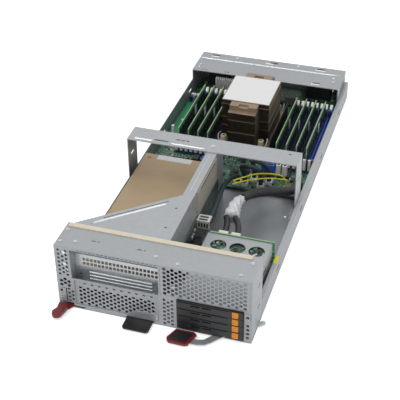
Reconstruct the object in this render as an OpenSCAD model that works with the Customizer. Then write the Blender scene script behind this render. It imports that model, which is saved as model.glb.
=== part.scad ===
/* [Chassis] */
// Width over the side walls
chassis_w = 240; // [236:1:260]
// Length from the front face to the rear edge
chassis_l = 590; // [585:1:640]
// Height of the two-slot front section
front_h = 92; // [91:0.5:98]
// Height of the one-slot rear section
rear_h = 46.5; // [45:0.5:52]
// Height of the tray side walls
wall_h = 27; // [24:1:32]
// Thickness of the sheet steel
sheet = 1.2; // [1:0.1:1.4]
// Depth of the front section
front_d = 46; // [42:1:52]
// Gap between pieces that meet without touching
gap = 0.3; // [0.2:0.05:0.4]

/* [Front face] */
// Distance from the left side to the expansion bay
bay_x = 19.5; // [19:0.5:22]
// Width of the expansion bay
bay_w = 108.5; // [104:0.5:109]
// Height of the lower edge of the expansion bay
bay_z = 46; // [46:0.5:48]
// Height of the expansion bay opening
bay_h = 42; // [38:0.5:42]
// Depth at which the slot covers stand in the bay
bay_depth = 14; // [12:0.5:16]
// Distance between neighbouring expansion slots
slot_pitch = 20.3; // [20:0.1:20.6]
// Column pitch of the honeycomb grilles
vent_pitch = 4.8; // [4.7:0.1:5.4]
// Row pitch of the honeycomb grilles
vent_row = 6; // [5.8:0.1:6.6]
// Size of one honeycomb hole across its corners
vent_hole = 4.8; // [3.6:0.1:5]
// Thickness of the cream gasket on the front section
gasket_t = 1.2; // [0.8:0.1:2]

/* [Drive bay] */
// Width of the opening for the drive trays
drive_bay_w = 80.6; // [79:0.1:82]
// Width of the metal strip right of the drive trays
drive_strip_w = 9.4; // [9:0.1:12]
// Height of the underside of the lowest tray
tray_z = 5; // [5:0.1:5.4]
// Distance between neighbouring trays
tray_pitch = 10.4; // [10.4:0.1:11]
// Height of one tray front
tray_h = 9.9; // [9.2:0.1:10]
// Length of a drive tray behind the front face
tray_l = 122; // [118:1:126]
// How far a tray front stands out of the face
tray_proud = 3; // [2:0.5:4]
// Travel of a drive tray
tray_travel = 115; // [100:1:120]
// Diameter of the round holes in the drive cage
cage_hole = 20; // [16:1:22]

/* [Levers and tab] */
// Radius of the pivot pins of the ejector levers
pivot_r = 3; // [2.5:0.1:3.5]
// Radial clearance of a lever on its pin
pivot_clear = 0.05; // [0.03:0.01:0.1]
// Thickness of the lever plates
lever_t = 1.5; // [1.2:0.1:1.6]
// Height of the left grip
left_grip_h = 5.4; // [4.6:0.1:6]
// Height of the right grip, which lies below the trays
right_grip_h = 3.2; // [2.8:0.1:3.2]
// Width of the pull-out tab
tab_w = 33; // [28:1:34]
// Thickness of the pull-out tab
tab_t = 1.8; // [1.4:0.1:1.9]

/* [Memory] */
// Distance between neighbouring memory slots
dimm_pitch = 7.35; // [7.2:0.05:7.6]
// Length of a memory module
dimm_l = 133.35; // [130:0.05:134]
// Height of a memory module
dimm_h = 31.25; // [28:0.25:32]
// Thickness of a memory module's board
dimm_t = 1.3; // [1.1:0.1:1.5]
// Length of a memory slot with its latches
dimm_slot_l = 162; // [160:0.5:166]
// Width of a memory slot
dimm_slot_w = 6; // [5.6:0.1:6.4]

/* [Processor cooler] */
// Height of the cooler's top above the mainboard
cooler_h = 75; // [60:1:80]
// Width of the cooler's main fin block
cooler_w = 70; // [64:1:74]
// Length of the cooler's main fin block
cooler_l = 73; // [66:1:80]
// Distance between neighbouring fins
fin_pitch = 2.5; // [2.2:0.1:3.5]
// Thickness of a fin
fin_t = 0.6; // [0.4:0.1:0.8]
// Size of the cooler's base across and along
cooler_base = [74, 118]; // [60:1:120]

/* [Mainboard and card] */
// Height of the mainboard above the floor sheet
board_rise = 3.2; // [2.6:0.1:3.6]
// Thickness of the printed circuit boards
pcb = 1.6; // [1.4:0.1:1.8]
// Distance from the front face to the mainboard
board_y = 290; // [289:1:300]
// Length of the accelerator card
card_l = 267; // [240:1:268]
// Width of the accelerator card
card_w = 109; // [100:1:111]
// Height of the accelerator card
card_h = 40; // [36:0.5:40]

/* [Hidden] */
$fn = 48;

steel = [0.72, 0.74, 0.75];
board_green = [0.05, 0.33, 0.2];
black_plastic = [0.1, 0.1, 0.11];

// Places that several pieces share
floor_z = sheet;
top_z = front_h - sheet;
bay_right = bay_x + bay_w;
drive_x = chassis_w - drive_strip_w - drive_bay_w;
drive_right = drive_x + drive_bay_w;
drive_top = tray_z + 3 * tray_pitch + tray_h + 0.4;
divider_x = bay_right + 1;
grille_x = divider_x + 1;
grille_z = drive_top + 1.2;
lower_bay = [bay_x + 2.5, 6.5, bay_w - 3.5, 37.5];
cage_y = sheet;
backplane_y = tray_l + 8;
board_z = floor_z + board_rise;
board_top = board_z + pcb;
board_l = chassis_l - board_y - 6;
bridge_y = 240;
bridge_d = 32;
leg_gap = 0.3;
rail_w = 5;
leg_right = chassis_w - rail_w - leg_gap;
rear_y = chassis_l - 62;
riser_x = bay_right - 1.6;
riser_strip = 14.6;
card_x = 12;
card_y = bay_depth + sheet + gap;
card_z = floor_z + 3.7;
card_top = card_z + card_h;
card_board_z = card_top - 6;
riser_board_x = riser_x + sheet;
socket_x = card_x + card_w + gap;
cpu = [124, board_y + 142];
left_slots_x = cpu.x - 92;
right_slots_x = cpu.x + 54;
memory_y = cpu.y;
latch_axis_z = board_top + 3.9 + gap;
latch_offset = dimm_slot_l / 2 - 4;
button = [4.8, 25.2, 1.5];
left_pivot = [20, 14];
right_pivot = [chassis_w - 23, 10];
lever_z = floor_z + gap;
tab_x = 87;
tray_latch = [8, 3.4, tray_h - 1.8];
tray_latch_x = drive_right - 5.6 - tray_latch.x;
module_clear = 0.1;
socket_d = 4;
drive_size = [69.8, 100.2, 7];
backing = lever_t + 2 * gap;

// Moves a piece from the front-left corner datum to the centred frame
module datum(p = [0, 0, 0]) translate([p.x - chassis_w / 2, p.y - chassis_l / 2, p.z]) children();

module block(p, size) datum(p) cube(size);

// A flat sheet drawn in plan, lying at height z
module lying(z, t) datum([0, 0, z]) linear_extrude(t) children();

// A sheet drawn as seen from the front, standing at distance y
module facing_front(y, t) datum([0, y + t, 0]) rotate([90, 0, 0]) linear_extrude(t) children();

// A sheet drawn as seen from the right, in Y and Z, standing at distance x
module facing_side(x, t) datum([x, 0, 0]) rotate([90, 0, 90]) linear_extrude(t) children();

module box2(x, y, w, h) translate([x, y]) square([w, h]);

module slot2(x, y, w, h) {
    box2(x + h / 2, y, w - h, h);
    for (dx = [h / 2, w - h / 2]) translate([x + dx, y + h / 2]) circle(h / 2);
}

// Staggered honeycomb holes that stay inside a rectangle
module honeycomb(x, y, w, h, hole = vent_hole) {
    columns = floor((w - hole) / vent_pitch);
    first = x + (w - columns * vent_pitch) / 2;
    for (i = [0 : columns]) {
        lift = i % 2 == 0 ? 0 : vent_row / 2;
        rows = floor((h - hole - lift) / vent_row);
        for (j = [0 : rows])
            translate([first + i * vent_pitch, y + hole / 2 + lift + j * vent_row]) circle(d = hole, $fn = 6);
    }
}

module rounded2(w, h, r) {
    box2(r, 0, w - 2 * r, h);
    box2(0, r, w, h - 2 * r);
    for (x = [r, w - r], y = [r, h - r]) translate([x, y]) circle(r);
}

// ---- sheet metal body ----

module base_tray() color(steel) {
    lying(0, floor_z) difference() {
        square([chassis_w, chassis_l]);
        for (x = [36 : 24 : 108]) slot2(x, front_d + 20, 16, 4);
        for (x = [150, chassis_w - 20], y = [170, 250]) translate([x, y]) circle(2);
    }
    for (x = [0, chassis_w - sheet])
        facing_side(x, sheet) difference() {
            box2(front_d + gap, floor_z, chassis_l - front_d - gap, wall_h - floor_z);
            for (y = [120 : 130 : chassis_l - 80]) slot2(y, 12, 14, 4);
        }
    block([chassis_w - rail_w, front_d + gap, wall_h - sheet], [rail_w - sheet, chassis_l - front_d - gap, sheet]);
    // guides of the pull-out tab
    for (x = [tab_x - gap - 2, tab_x + tab_w + gap]) block([x, sheet + 4, floor_z], [2, 34, tab_t + 0.6]);
}

module front_cage() color(steel) {
    lying(top_z, sheet) difference() {
        square([chassis_w, front_d]);
        for (x = [40, 97]) {
            slot2(x, 19, 6, 1.4);
            slot2(x + 8, 19, 2.4, 1.4);
        }
        box2(chassis_w - 10.5, front_d - 8.5, 1, 8.5);
    }
    for (x = [0, chassis_w - sheet])
        facing_side(x, sheet) difference() {
            box2(0, floor_z, front_d, top_z - floor_z);
            box2(3, floor_z, front_d, backing + 0.4);
            for (z = [30, 62]) slot2(front_d - 20, z, 10, 3);
        }
}

module front_bezel() color(steel) {
    facing_front(0, sheet) difference() {
        box2(sheet, floor_z, chassis_w - 2 * sheet, top_z - floor_z);
        box2(bay_x, bay_z, bay_w, bay_h);
        for (x = [bay_x + 9 : 5 : bay_right - 3]) box2(x, bay_z + bay_h + 0.9, 3.4, 1);
        box2(lower_bay[0], lower_bay[1], lower_bay[2], lower_bay[3]);
        box2(tab_x - 1, 0, tab_w + 2, floor_z + tab_t + 3 * gap);
        box2(1.6, 8.4, 9.8, 20.2);
        box2(sheet, 0, 18, 7.2);
        box2(sheet, 0, 32, floor_z + backing + 0.3);
        honeycomb(1.8, 48, bay_x - 3.4, top_z - 49.4, vent_hole * 0.78);
        honeycomb(1.4, 31, bay_x - 1.4, 16, vent_hole);
        honeycomb(12.2, 8.4, 9.2, 22, vent_hole * 0.75);
        honeycomb(divider_x + 1.6, 2.6, drive_x - divider_x - 3.4, drive_top - 5, vent_hole * 0.88);
        box2(grille_x, grille_z, chassis_w - 2 * sheet - grille_x, front_h);
        box2(drive_x, 0, drive_bay_w, drive_top);
        for (z = [7.8 : 6.1 : 27]) translate([drive_right + drive_strip_w / 2, z]) circle(1.9);
        translate([drive_right + drive_strip_w / 2, 39]) circle(2);
    }
    // embossed tab with its hole beside the drives
    facing_front(-0.7, 0.7) difference() {
        box2(drive_right + 1, 34, drive_strip_w - 2.4, 10.4);
        translate([drive_right + drive_strip_w / 2, 39]) circle(2);
    }
}

module intake_grille() color(steel) {
    w = chassis_w - 2 * sheet - grille_x - 0.3;
    h = top_z - grille_z;
    facing_front(0.2, 0.8) difference() {
        box2(grille_x + 0.15, grille_z, w, h);
        honeycomb(grille_x + 1, grille_z + 0.9, w - 2, h - 1.8, vent_hole);
    }
}

module emi_gasket() color([0.87, 0.82, 0.7]) lying(front_h, gasket_t)
    translate([3, front_d - 8]) rounded2(chassis_w - 14, 7, 1.5);

module bay_shroud() color(steel) {
    depth = bay_depth - sheet;
    for (x = [bay_x - sheet, bay_right]) block([x, sheet, bay_z - 13], [sheet, depth, top_z - bay_z + 13]);
    block([bay_x, sheet + 1.3, bay_z - 13], [bay_w, depth - 1.3, 1]);
    facing_front(bay_depth, sheet) difference() {
        z = bay_z - 13;
        box2(bay_x - sheet, z, bay_w + 2 * sheet, top_z - z);
        box2(bay_x + 4, z + 2.5, bay_w - 8, 2 * slot_pitch - 4);
    }
}

cover_z = bay_z - 11.8;

// Outline of an expansion slot cover, with its rounded end tongue
module slot_cover(z) {
    translate([bay_x + gap, z]) rounded2(bay_w - 2 * gap, slot_pitch - gap, 1.5);
}

module vent_bracket() color([0.78, 0.8, 0.82]) facing_front(bay_depth - 1, 1) difference() {
    slot_cover(cover_z + slot_pitch);
    for (x = [bay_x + 10 : 4.75 : bay_right - 8], z = [4.6, 10.9])
        box2(x, cover_z + slot_pitch + z, 3.5, 4.3);
}

module blank_bracket() color([0.78, 0.8, 0.82]) {
    facing_front(bay_depth - 1, 1) difference() {
        slot_cover(cover_z);
        translate([bay_x + 6, cover_z + slot_pitch / 2]) circle(1.6);
    }
    // pressed ridges along the cover
    for (z = [5.2, 10.2, 15.2])
        datum([bay_x + 18, bay_depth - 1, cover_z + z]) rotate([0, 90, 0]) difference() {
            cylinder(r = 1.3, h = bay_w - 30);
            translate([-2, 0, -1]) cube([4, 2, bay_w]);
        }
}

module lower_bay_cover() color(steel) {
    x = lower_bay[0] - 0.9;
    w = lower_bay[2] + 1.8;
    facing_front(sheet, 1) difference() {
        box2(x, lower_bay[1] - 1.8, w, lower_bay[3] + 3);
        honeycomb(x + 4, lower_bay[1] + 0.6, w - 8, lower_bay[3] - 7.6, vent_hole * 0.9);
        for (i = [0 : 9]) slot2(x + 12 + i * 9.3, lower_bay[1] + lower_bay[3] - 5, 3.6, 2);
    }
}

module bracket_clamp() color([0.8, 0.8, 0.8]) {
    x = lower_bay[0] + lower_bay[2] - 33;
    facing_front(sheet - 1, 1) polygon([
        [x, lower_bay[1] + gap], [x + 32, lower_bay[1] + gap], [x + 32, lower_bay[1] + 9],
        [x + 6, lower_bay[1] + 9], [x, lower_bay[1] + 5]
    ]);
}

module control_panel() color([0.66, 0.68, 0.7]) facing_front(-0.4, sheet + 0.4) difference() {
    box2(1.9, 8.7, 8.2, 19.6);
    translate([button.x, button.y - 0.4]) circle(button.z + 0.2);
    for (z = [12, 16, 20]) translate([button.x, z]) circle(0.8);
}

module power_button() color([0.2, 0.2, 0.22]) datum([button.x, sheet, button.y - 0.4])
    rotate([90, 0, 0]) cylinder(r = button.z, h = sheet + 1.2);

module bridge_bracket() color(steel) {
    lying(top_z, sheet) difference() {
        box2(sheet + gap, bridge_y, leg_right - sheet - gap, bridge_d);
        slot2(38, bridge_y + 7, 20, 3.2);
        slot2(66, bridge_y + 15, 18, 3.2);
        for (x = [20, chassis_w - 20]) translate([x, bridge_y + bridge_d - 8]) circle(1.6);
    }
    for (x = [sheet + gap, leg_right - sheet])
        facing_side(x, sheet) difference() {
            box2(bridge_y, floor_z, bridge_d, top_z - floor_z);
            slot2(bridge_y + 9, 60, 12, 4);
        }
    for (x = [2 * sheet + gap, leg_right - sheet - 9]) block([x, bridge_y + 2, floor_z], [9, bridge_d - 4, sheet]);
    // pressed stiffening ribs on the left half
    for (span = [[10, 26], [62, 46]])
        datum([span[0], bridge_y + 6, front_h]) rotate([0, 90, 0]) difference() {
            cylinder(r = 1.2, h = span[1]);
            translate([0, -2, -1]) cube([2, 4, span[1] + 2]);
        }
}

module rear_bracket() color(steel) {
    z = rear_h - sheet;
    right = chassis_w - rail_w - gap;
    lying(z, sheet) difference() {
        box2(sheet + gap, rear_y, right - sheet - gap, chassis_l - rear_y);
        for (x = [18, 114, 190]) slot2(x, chassis_l - 9, 13, 4);
        slot2(192, rear_y + 8, 12, 4);
        for (x = [16, 52]) slot2(x, rear_y + 5, 9, 1.6);
    }
    for (x = [sheet + gap, right - sheet])
        facing_side(x, sheet) difference() {
            box2(rear_y, floor_z, chassis_l - rear_y, z - floor_z);
            if (x > chassis_w / 2) for (i = [0 : 3]) slot2(rear_y + 12, wall_h + 2.6 + i * 3.6, 38, 1.8);
        }
    facing_front(chassis_l - sheet, sheet) difference() {
        box2(2 * sheet + gap, floor_z, right - 3 * sheet - gap, z - floor_z);
        for (x = [20, right - 54]) box2(x - 0.5, board_top, 37, 21);
        honeycomb(70, board_top + 6, 96, 28, vent_hole);
    }
    datum([5, chassis_l - 19, rear_h]) rotate([0, 90, 0]) difference() {
        cylinder(r = 1.3, h = right - 12);
        translate([0, -2, -1]) cube([2, 4, right]);
    }
}

// ---- riser and accelerator card ----

module riser_bracket() color(steel) {
    z = top_z - sheet;
    x = riser_x;
    rear = bridge_y + bridge_d - 4;
    lying(z, sheet) difference() {
        polygon([
            [5, front_d - 8], [5, front_d + 1], [x + sheet - riser_strip, 139],
            [x + sheet - riser_strip, rear], [x + sheet, rear], [x + sheet, front_d - 8]
        ]);
        for (y = [70, 110]) translate([x - 12, y]) circle(1.6);
    }
    facing_side(x, sheet) difference() {
        union() {
            box2(front_d - 8, top_z - 36, 112, 36 - sheet);
            box2(88, card_top - 6, 16, top_z - card_top);
            box2(bridge_y - 8, floor_z, rear - bridge_y + 8, z - floor_z);
            box2(front_d, z - 6, bridge_y - front_d, 6);
        }
        slot2(160, z - 5, 66, 2.4);
        for (y = [80, 136]) translate([y, z - 12]) circle(1.4);
    }
    // pressed rib along the slanted edge
    slant = atan2(139 - front_d, x - riser_strip - 5);
    datum([26, front_d + 7, top_z]) rotate([0, 0, slant]) rotate([0, 90, 0]) difference() {
        cylinder(r = 1.3, h = 96);
        translate([0, -2, -1]) cube([2, 4, 98]);
    }
}

module riser_side_plate() color([0.8, 0.77, 0.7])
    facing_side(riser_x + sheet, 1) polygon([
        [152, top_z - 38], [152, top_z - 3], [bridge_y - 4, top_z - 3], [bridge_y - 4, top_z - 38]
    ]);

module riser_board() {
    color(board_green) facing_side(riser_board_x, pcb) difference() {
        box2(86, floor_z + 4, bridge_y - 86, card_top + 2 - floor_z);
        for (y = [92, bridge_y - 6]) translate([y, card_top + 2]) circle(1.6);
    }
    // edge socket that takes the card's contacts
    color(black_plastic) difference() {
        block([socket_x, 106, card_board_z - 3], [riser_board_x - socket_x, 92, 8]);
        block([socket_x - 1, 108, card_board_z - gap], [riser_board_x - socket_x - 0.5, 88, pcb + 2 * gap]);
    }
}

module card_shroud() color([0.24, 0.23, 0.22]) {
    h = card_board_z - card_z;
    facing_front(card_y, card_l) difference() {
        box2(card_x, card_z, card_w, h);
        box2(card_x + 1.5, card_z + 1.5, card_w - 3, h - 6);
    }
    facing_front(card_y + 24, card_l - 40) for (x = [card_x + 8 : 8 : card_x + card_w - 6])
        box2(x, card_z + 1.5, 0.8, h - 6);
}

module card_board() color(board_green) {
    lying(card_board_z, pcb) {
        box2(card_x + 1, card_y, card_w - 2, card_l);
        box2(card_x + card_w - 2, 109, riser_board_x - card_x - card_w, 86);
    }
}

module card_backplate() color([0.7, 0.58, 0.42]) {
    z = card_board_z + pcb;
    difference() {
        block([card_x, card_y, z], [card_w, card_l, card_top - z]);
        for (x = [card_x + 8, card_x + card_w - 8], y = [card_y + 10, card_y + card_l - 10])
            datum([x, y, card_top - 1]) cylinder(r = 2.4, h = 2);
    }
}

// ---- mainboard and what stands on it ----

module mainboard() color(board_green) lying(board_z, pcb) difference() {
    box2(2 * (sheet + gap), board_y, leg_right - 3 * (sheet + gap), board_l);
    for (p = board_holes) translate([p.x, p.y]) circle(1.7);
}

board_holes = [
    for (p = [[14, 8], [104, 8], [196, 8], [14, 150], [14, 272], [104, 272]]) [p.x, board_y + p.y],
    [chassis_w - 18, board_y + 272]
];

module board_standoffs() color([0.8, 0.75, 0.55]) for (p = board_holes) {
    datum([p.x, p.y, floor_z]) cylinder(r = 3, h = board_rise);
    datum([p.x, p.y, board_top]) cylinder(r = 2.8, h = 1.2);
}

module cpu_socket() color([0.55, 0.56, 0.58]) {
    difference() {
        block([cpu.x - cooler_base.x / 2, cpu.y - 45, board_top], [cooler_base.x, 90, 4.5]);
        block([cpu.x - 32, cpu.y - 36, board_top + 1], [64, 72, 5]);
    }
    block([cpu.x - 30, cpu.y - 34, board_top + 1], [60, 68, 5]);
}

cooler_z = board_top + 6;

module cooler_base_plate() color([0.62, 0.5, 0.4]) difference() {
    block([cpu.x - cooler_base.x / 2, cpu.y - cooler_base.y / 2, cooler_z], [cooler_base.x, cooler_base.y, 5]);
    for (x = nut_x, y = nut_y) datum([x, y, cooler_z - 1]) cylinder(r = 2.5, h = 8);
}

nut_x = [cpu.x - 28, cpu.x + 28];
nut_y = [cpu.y - 52, cpu.y + 52];

module cooler_nuts() color([0.86, 0.8, 0.66]) for (x = nut_x, y = nut_y) datum([x, y, 0]) {
    translate([0, 0, board_top]) cylinder(r = 2.3, h = cooler_z - board_top + 5);
    translate([0, 0, cooler_z + 5]) cylinder(r = 4.2, h = 4);
    translate([0, 0, cooler_z + 9]) difference() {
        cylinder(r = 3.6, h = 7);
        translate([0, 0, 4]) cylinder(r = 1.8, h = 4);
    }
}

// Fins in plan position, as a comb seen from the front
module fin_comb(w, h) {
    count = floor(w / fin_pitch);
    for (i = [0 : count]) box2(cpu.x - count * fin_pitch / 2 + i * fin_pitch - fin_t / 2, cooler_z + 5, fin_t, h);
}

module cooler_fins() color([0.3, 0.25, 0.2]) {
    h = board_top + cooler_h - cooler_z - 5;
    facing_front(cpu.y - cooler_l / 2, cooler_l) {
        fin_comb(cooler_w - fin_t, h);
        box2(cpu.x - cooler_w / 2, cooler_z + 4 + h, cooler_w, 1);
        box2(cpu.x - cooler_w / 2, cooler_z + 5, cooler_w, 0.8);
    }
    facing_front(cpu.y - cooler_base.y / 2, cooler_base.y) {
        fin_comb(40, h - 7);
        box2(cpu.x - 20, cooler_z + 5, 40, 0.8);
        for (z = [0.4, 0.7]) box2(cpu.x - 20, cooler_z + 5 + z * h, 40, 0.6);
        box2(cpu.x - 20, cooler_z - 3 + h, 40, 1);
    }
}

module cooler_caps() color([0.62, 0.5, 0.38]) {
    z = board_top + cooler_h - 7;
    for (side = [-1, 1]) {
        y = cpu.y + side * (cooler_l / 2 + gap) + (side < 0 ? -13 : 0);
        difference() {
            block([cpu.x - 20, y, z], [40, 13, 6.4]);
            block([cpu.x - 7, y - 1, z + 4.4], [14, 8, 3]);
        }
    }
}

module memory_slot_row(x0, bright) for (i = [0 : 7]) {
    x = x0 + i * dimm_pitch;
    y0 = memory_y - dimm_slot_l / 2;
    color(i == bright ? [0.1, 0.25, 0.75] : [0.08, 0.1, 0.28]) difference() {
        facing_side(x - dimm_slot_w / 2, dimm_slot_w) polygon([
            [y0, board_top], [y0, board_top + 2], [y0 + 9, board_top + 2], [y0 + 9, board_top + 17],
            [y0 + 12, board_top + 17], [y0 + 15, board_top + 8], [y0 + dimm_slot_l - 15, board_top + 8],
            [y0 + dimm_slot_l - 12, board_top + 17], [y0 + dimm_slot_l - 9, board_top + 17],
            [y0 + dimm_slot_l - 9, board_top + 2], [y0 + dimm_slot_l, board_top + 2],
            [y0 + dimm_slot_l, board_top]
        ]);
        block([x - dimm_t / 2 - module_clear, memory_y - dimm_l / 2 - gap, board_top + 2.6],
              [dimm_t + 2 * module_clear, dimm_l + 2 * gap, 40]);
    }
}

module memory_slots() {
    memory_slot_row(left_slots_x, -1);
    memory_slot_row(right_slots_x, 7);
}

module memory_modules() for (x0 = [left_slots_x, right_slots_x], i = [0 : 2 : 6])
    datum([x0 + i * dimm_pitch - dimm_t / 2, memory_y, board_top + 2.8]) {
        color(board_green) difference() {
            translate([0, -dimm_l / 2, 0]) cube([dimm_t, dimm_l, dimm_h]);
            translate([-1, 4, -1]) cube([dimm_t + 2, 2.4, 5]);
        }
        color(black_plastic) for (k = [0 : 9]) if (k != 4 && k != 5)
            translate([-1, -dimm_l / 2 + 6 + k * 12.4, 11.5]) cube([dimm_t + 2, 9.6, 12]);
    }

// One end latch of a memory slot, drawn on its axis and leaning outward along -Y when opened
module memory_latch() {
    rotate([90, 0, 90]) translate([0, 0, -1.9]) linear_extrude(3.8) {
        circle(1.9);
        polygon([[-3, 0], [3.2, 0], [3.2, 8], [2.2, 10], [4.4, 12.5], [4.4, 14], [-1, 17.5], [-3.6, 17.5]]);
    }
}

module latch_row(side) for (x0 = [left_slots_x, right_slots_x], i = [0 : 7])
    datum([x0 + i * dimm_pitch, memory_y + side * latch_offset, latch_axis_z])
        mirror([0, side > 0 ? 1 : 0, 0]) memory_latch();

module front_latches() color([0.9, 0.9, 0.86]) latch_row(-1);

module rear_latches() color([0.9, 0.9, 0.86]) latch_row(1);

module regulator_heatsink() color([0.7, 0.71, 0.72]) facing_front(rear_y - 7.5, 38) {
    box2(42, board_top, 26, 3);
    for (i = [0 : 8]) box2(42 + i * 3.15, board_top + 2.9, 0.8, 16);
}

module air_guide() color([0.2, 0.17, 0.15]) {
    block([right_slots_x - 10.5, cpu.y - 62, board_top], [0.8, 110, 34]);
    block([right_slots_x - 12.5, cpu.y - 62, board_top], [2, 110, 0.8]);
}

module rear_connectors() color(black_plastic) for (x = [20, chassis_w - rail_w - gap - 54]) {
    difference() {
        block([x, chassis_l - 30, board_top], [36, 29, 20]);
        for (i = [0 : 7]) block([x + 2 + i * 4.1, chassis_l - 9, board_top + 3], [3, 9, 14]);
    }
}

module board_chips() color([0.13, 0.13, 0.14]) {
    for (c = [[20, 20, 26, 12, 3], [60, 30, 20, 20, 2], [160, 30, 14, 14, 5], [196, 40, 10, 18, 4],
              [92, 26, 16, 16, 6], [82, 235, 24, 14, 3], [112, 242, 12, 12, 4], [150, 236, 22, 22, 2.4],
              [190, 244, 14, 12, 3.5], [30, 238, 8, 8, 6]])
        block([c[0], board_y + c[1], board_top], [c[2], c[3], c[4]]);
}

// ---- drive cage, trays and drives ----

cage_x = drive_x - 1;
cage_wall = 1;
cage_top = drive_top + cage_wall;

module tray_shelf(i) {
    z = tray_z + i * tray_pitch - gap - 0.8;
    y = i == 0 ? 62 : cage_y + 6;
    for (x = [drive_x, drive_right - 1.1]) block([x, y, z], [1.1, tray_l - y, 0.8]);
}

module drive_cage() color(steel) {
    lying(drive_top, cage_wall) difference() {
        box2(cage_x, cage_y, drive_bay_w + 2 * cage_wall, backplane_y - cage_y);
        for (i = [0 : 2]) translate([drive_x + 18 + i * 24.3, backplane_y - 21]) circle(d = cage_hole);
    }
    for (x = [cage_x, drive_right])
        facing_side(x, cage_wall) difference() {
            box2(cage_y, floor_z, backplane_y - cage_y, drive_top - floor_z);
            box2(0, 0, 60, floor_z + backing);
            for (y = [40, 80]) slot2(y, 30, 20, 6);
        }
    for (i = [0 : 3]) tray_shelf(i);
}

module drive_backplane() {
    color(board_green) facing_front(backplane_y, pcb) difference() {
        box2(drive_x + 1, floor_z, leg_right - gap - drive_x - 1, cage_top);
        for (z = [22, 34]) translate([drive_right + 2, z]) circle(1.2);
    }
    // drive sockets
    color(black_plastic) for (i = [0 : 3])
        block([drive_x + 24, backplane_y - socket_d, tray_z + i * tray_pitch + 2], [34, socket_d, 5]);
}

module drive_tray(i) color(black_plastic) {
    z = tray_z + i * tray_pitch;
    w = drive_bay_w - 1;
    x = drive_x + 0.5;
    // moulded front with two air slots and a pocket for the latch
    difference() {
        block([x, -tray_proud, z], [w, tray_proud + 3, tray_h]);
        for (dx = [17, 31]) block([x + dx, -tray_proud - 1, z + 5.2], [11, 3, 1.8]);
        block([x + 2, -tray_proud - 1, z + tray_h - 1.6], [w - 20, 2, 2]);
        block([tray_latch_x - gap, -tray_proud - 1, z + 0.9 - gap],
              [tray_latch.x + 2 * gap, tray_latch.y + 0.4 + gap, tray_latch.z + 2 * gap]);
    }
    // carrier rails and cross strip
    rail = [5, tray_l - 3, 6.4];
    for (rx = [x, x + w - rail.x]) difference() {
        block([rx, 3, z], rail);
        block([rx < drive_x + 20 ? rx + 2 : rx - 2, 4, z + 1], [rail.x, tray_l, 8]);
    }
    block([x + 6, 3, z], [w - 12, 8, 1]);
}

module drive(i) color([0.62, 0.63, 0.65]) {
    y = backplane_y - socket_d - gap - drive_size.y;
    block([drive_x + (drive_bay_w - drive_size.x) / 2, y, tray_z + i * tray_pitch + 1], drive_size);
}

module tray_latch(i) color([0.93, 0.5, 0.08]) {
    r = tray_latch.y / 2;
    datum([tray_latch_x, -tray_proud - 0.6, tray_z + i * tray_pitch + 0.9]) difference() {
        linear_extrude(tray_latch.z) {
            box2(gap, 0, tray_latch.x - r - gap, tray_latch.y);
            translate([tray_latch.x - r, r]) circle(r);
        }
        translate([1.6, -1, 1.8]) cube([3.8, 1.6, tray_latch.z - 3.6]);
    }
}

// ---- levers, tab and fasteners ----

module lever_pivots() color([0.6, 0.6, 0.6]) for (p = [left_pivot, right_pivot])
    datum([p.x, p.y, floor_z]) cylinder(r = pivot_r, h = lever_t + 1.5 * gap);

module lever_hole(p) datum([p.x, p.y, 0]) cylinder(r = pivot_r + pivot_clear, h = 20);

module left_lever() {
    color([0.6, 0.61, 0.62]) difference() {
        lying(lever_z, lever_t) {
            translate(left_pivot) circle(7);
            polygon([[13.4, 12], [5, -6], [14, -8], [26.8, 12]]);
            polygon([[left_pivot.x, left_pivot.y - 7], [left_pivot.x, left_pivot.y + 7], [-5, 30], [-5, 24]]);
            translate([-4, 27]) circle(3);
        }
        lever_hole(left_pivot);
    }
    color([0.42, 0.05, 0.07]) lying(lever_z + lever_t, left_grip_h - lever_t) polygon([
        [1, -3.2], [11.5, -3.2], [14.4, -9], [13.6, -15], [11.4, -24.6], [8.4, -27.4], [4, -28],
        [0.8, -25.6], [-1, -20], [0.6, -16], [2.2, -13]
    ]);
}

// Plan outlines of the right lever, measured from its pivot
arm_line = [
    [0, -7], [-7, -8], [-15, -16], [-22, -25], [-28, -30.6], [-37, -32.8], [-48, -33], [-48, -24],
    [-37, -24], [-31, -22], [-26, -16], [-19, -6], [-9, 4], [0, 7]
];
arm_tail = [[0, -7], [0, 7], [26, 28], [30, 24]];
grip_line = [
    [-66.6, -15], [-73.2, -31], [-72.2, -35], [-69.6, -37.6], [-50, -38], [-46, -36], [-40.6, -18], [-45, -15]
];
grip_dish = [[-65, -17], [-70.4, -30], [-69.4, -34.4], [-49.6, -35.2], [-44.4, -18.4], [-46, -17]];

module right_lever_arm() color([0.62, 0.63, 0.64]) difference() {
    lying(lever_z, lever_t) translate(right_pivot) {
        circle(7);
        polygon(arm_line);
        polygon(arm_tail);
        translate([27.6, 25.6]) circle(3.2);
    }
    lever_hole(right_pivot);
}

module right_lever_grip() color([0.42, 0.05, 0.07]) difference() {
    lying(lever_z, right_grip_h) translate(right_pivot) polygon(grip_line);
    lying(lever_z - 1, lever_t + 1.1) translate(right_pivot) box2(-49, -34, 20, 11);
    lying(lever_z + right_grip_h - 0.8, 2) translate(right_pivot) polygon(grip_dish);
}

module pull_tab() color(black_plastic) lying(floor_z + gap, tab_t) translate([tab_x, 0]) {
    translate([0, -20.5]) rounded2(tab_w, 24, 4);
    box2(0, -6, tab_w, 50);
}

module screw_head(p, r = 2.2) datum(p) difference() {
    cylinder(r = r, h = 0.9);
    translate([0, 0, 0.4]) cylinder(r = r * 0.5, h = 1, $fn = 6);
}

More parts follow.
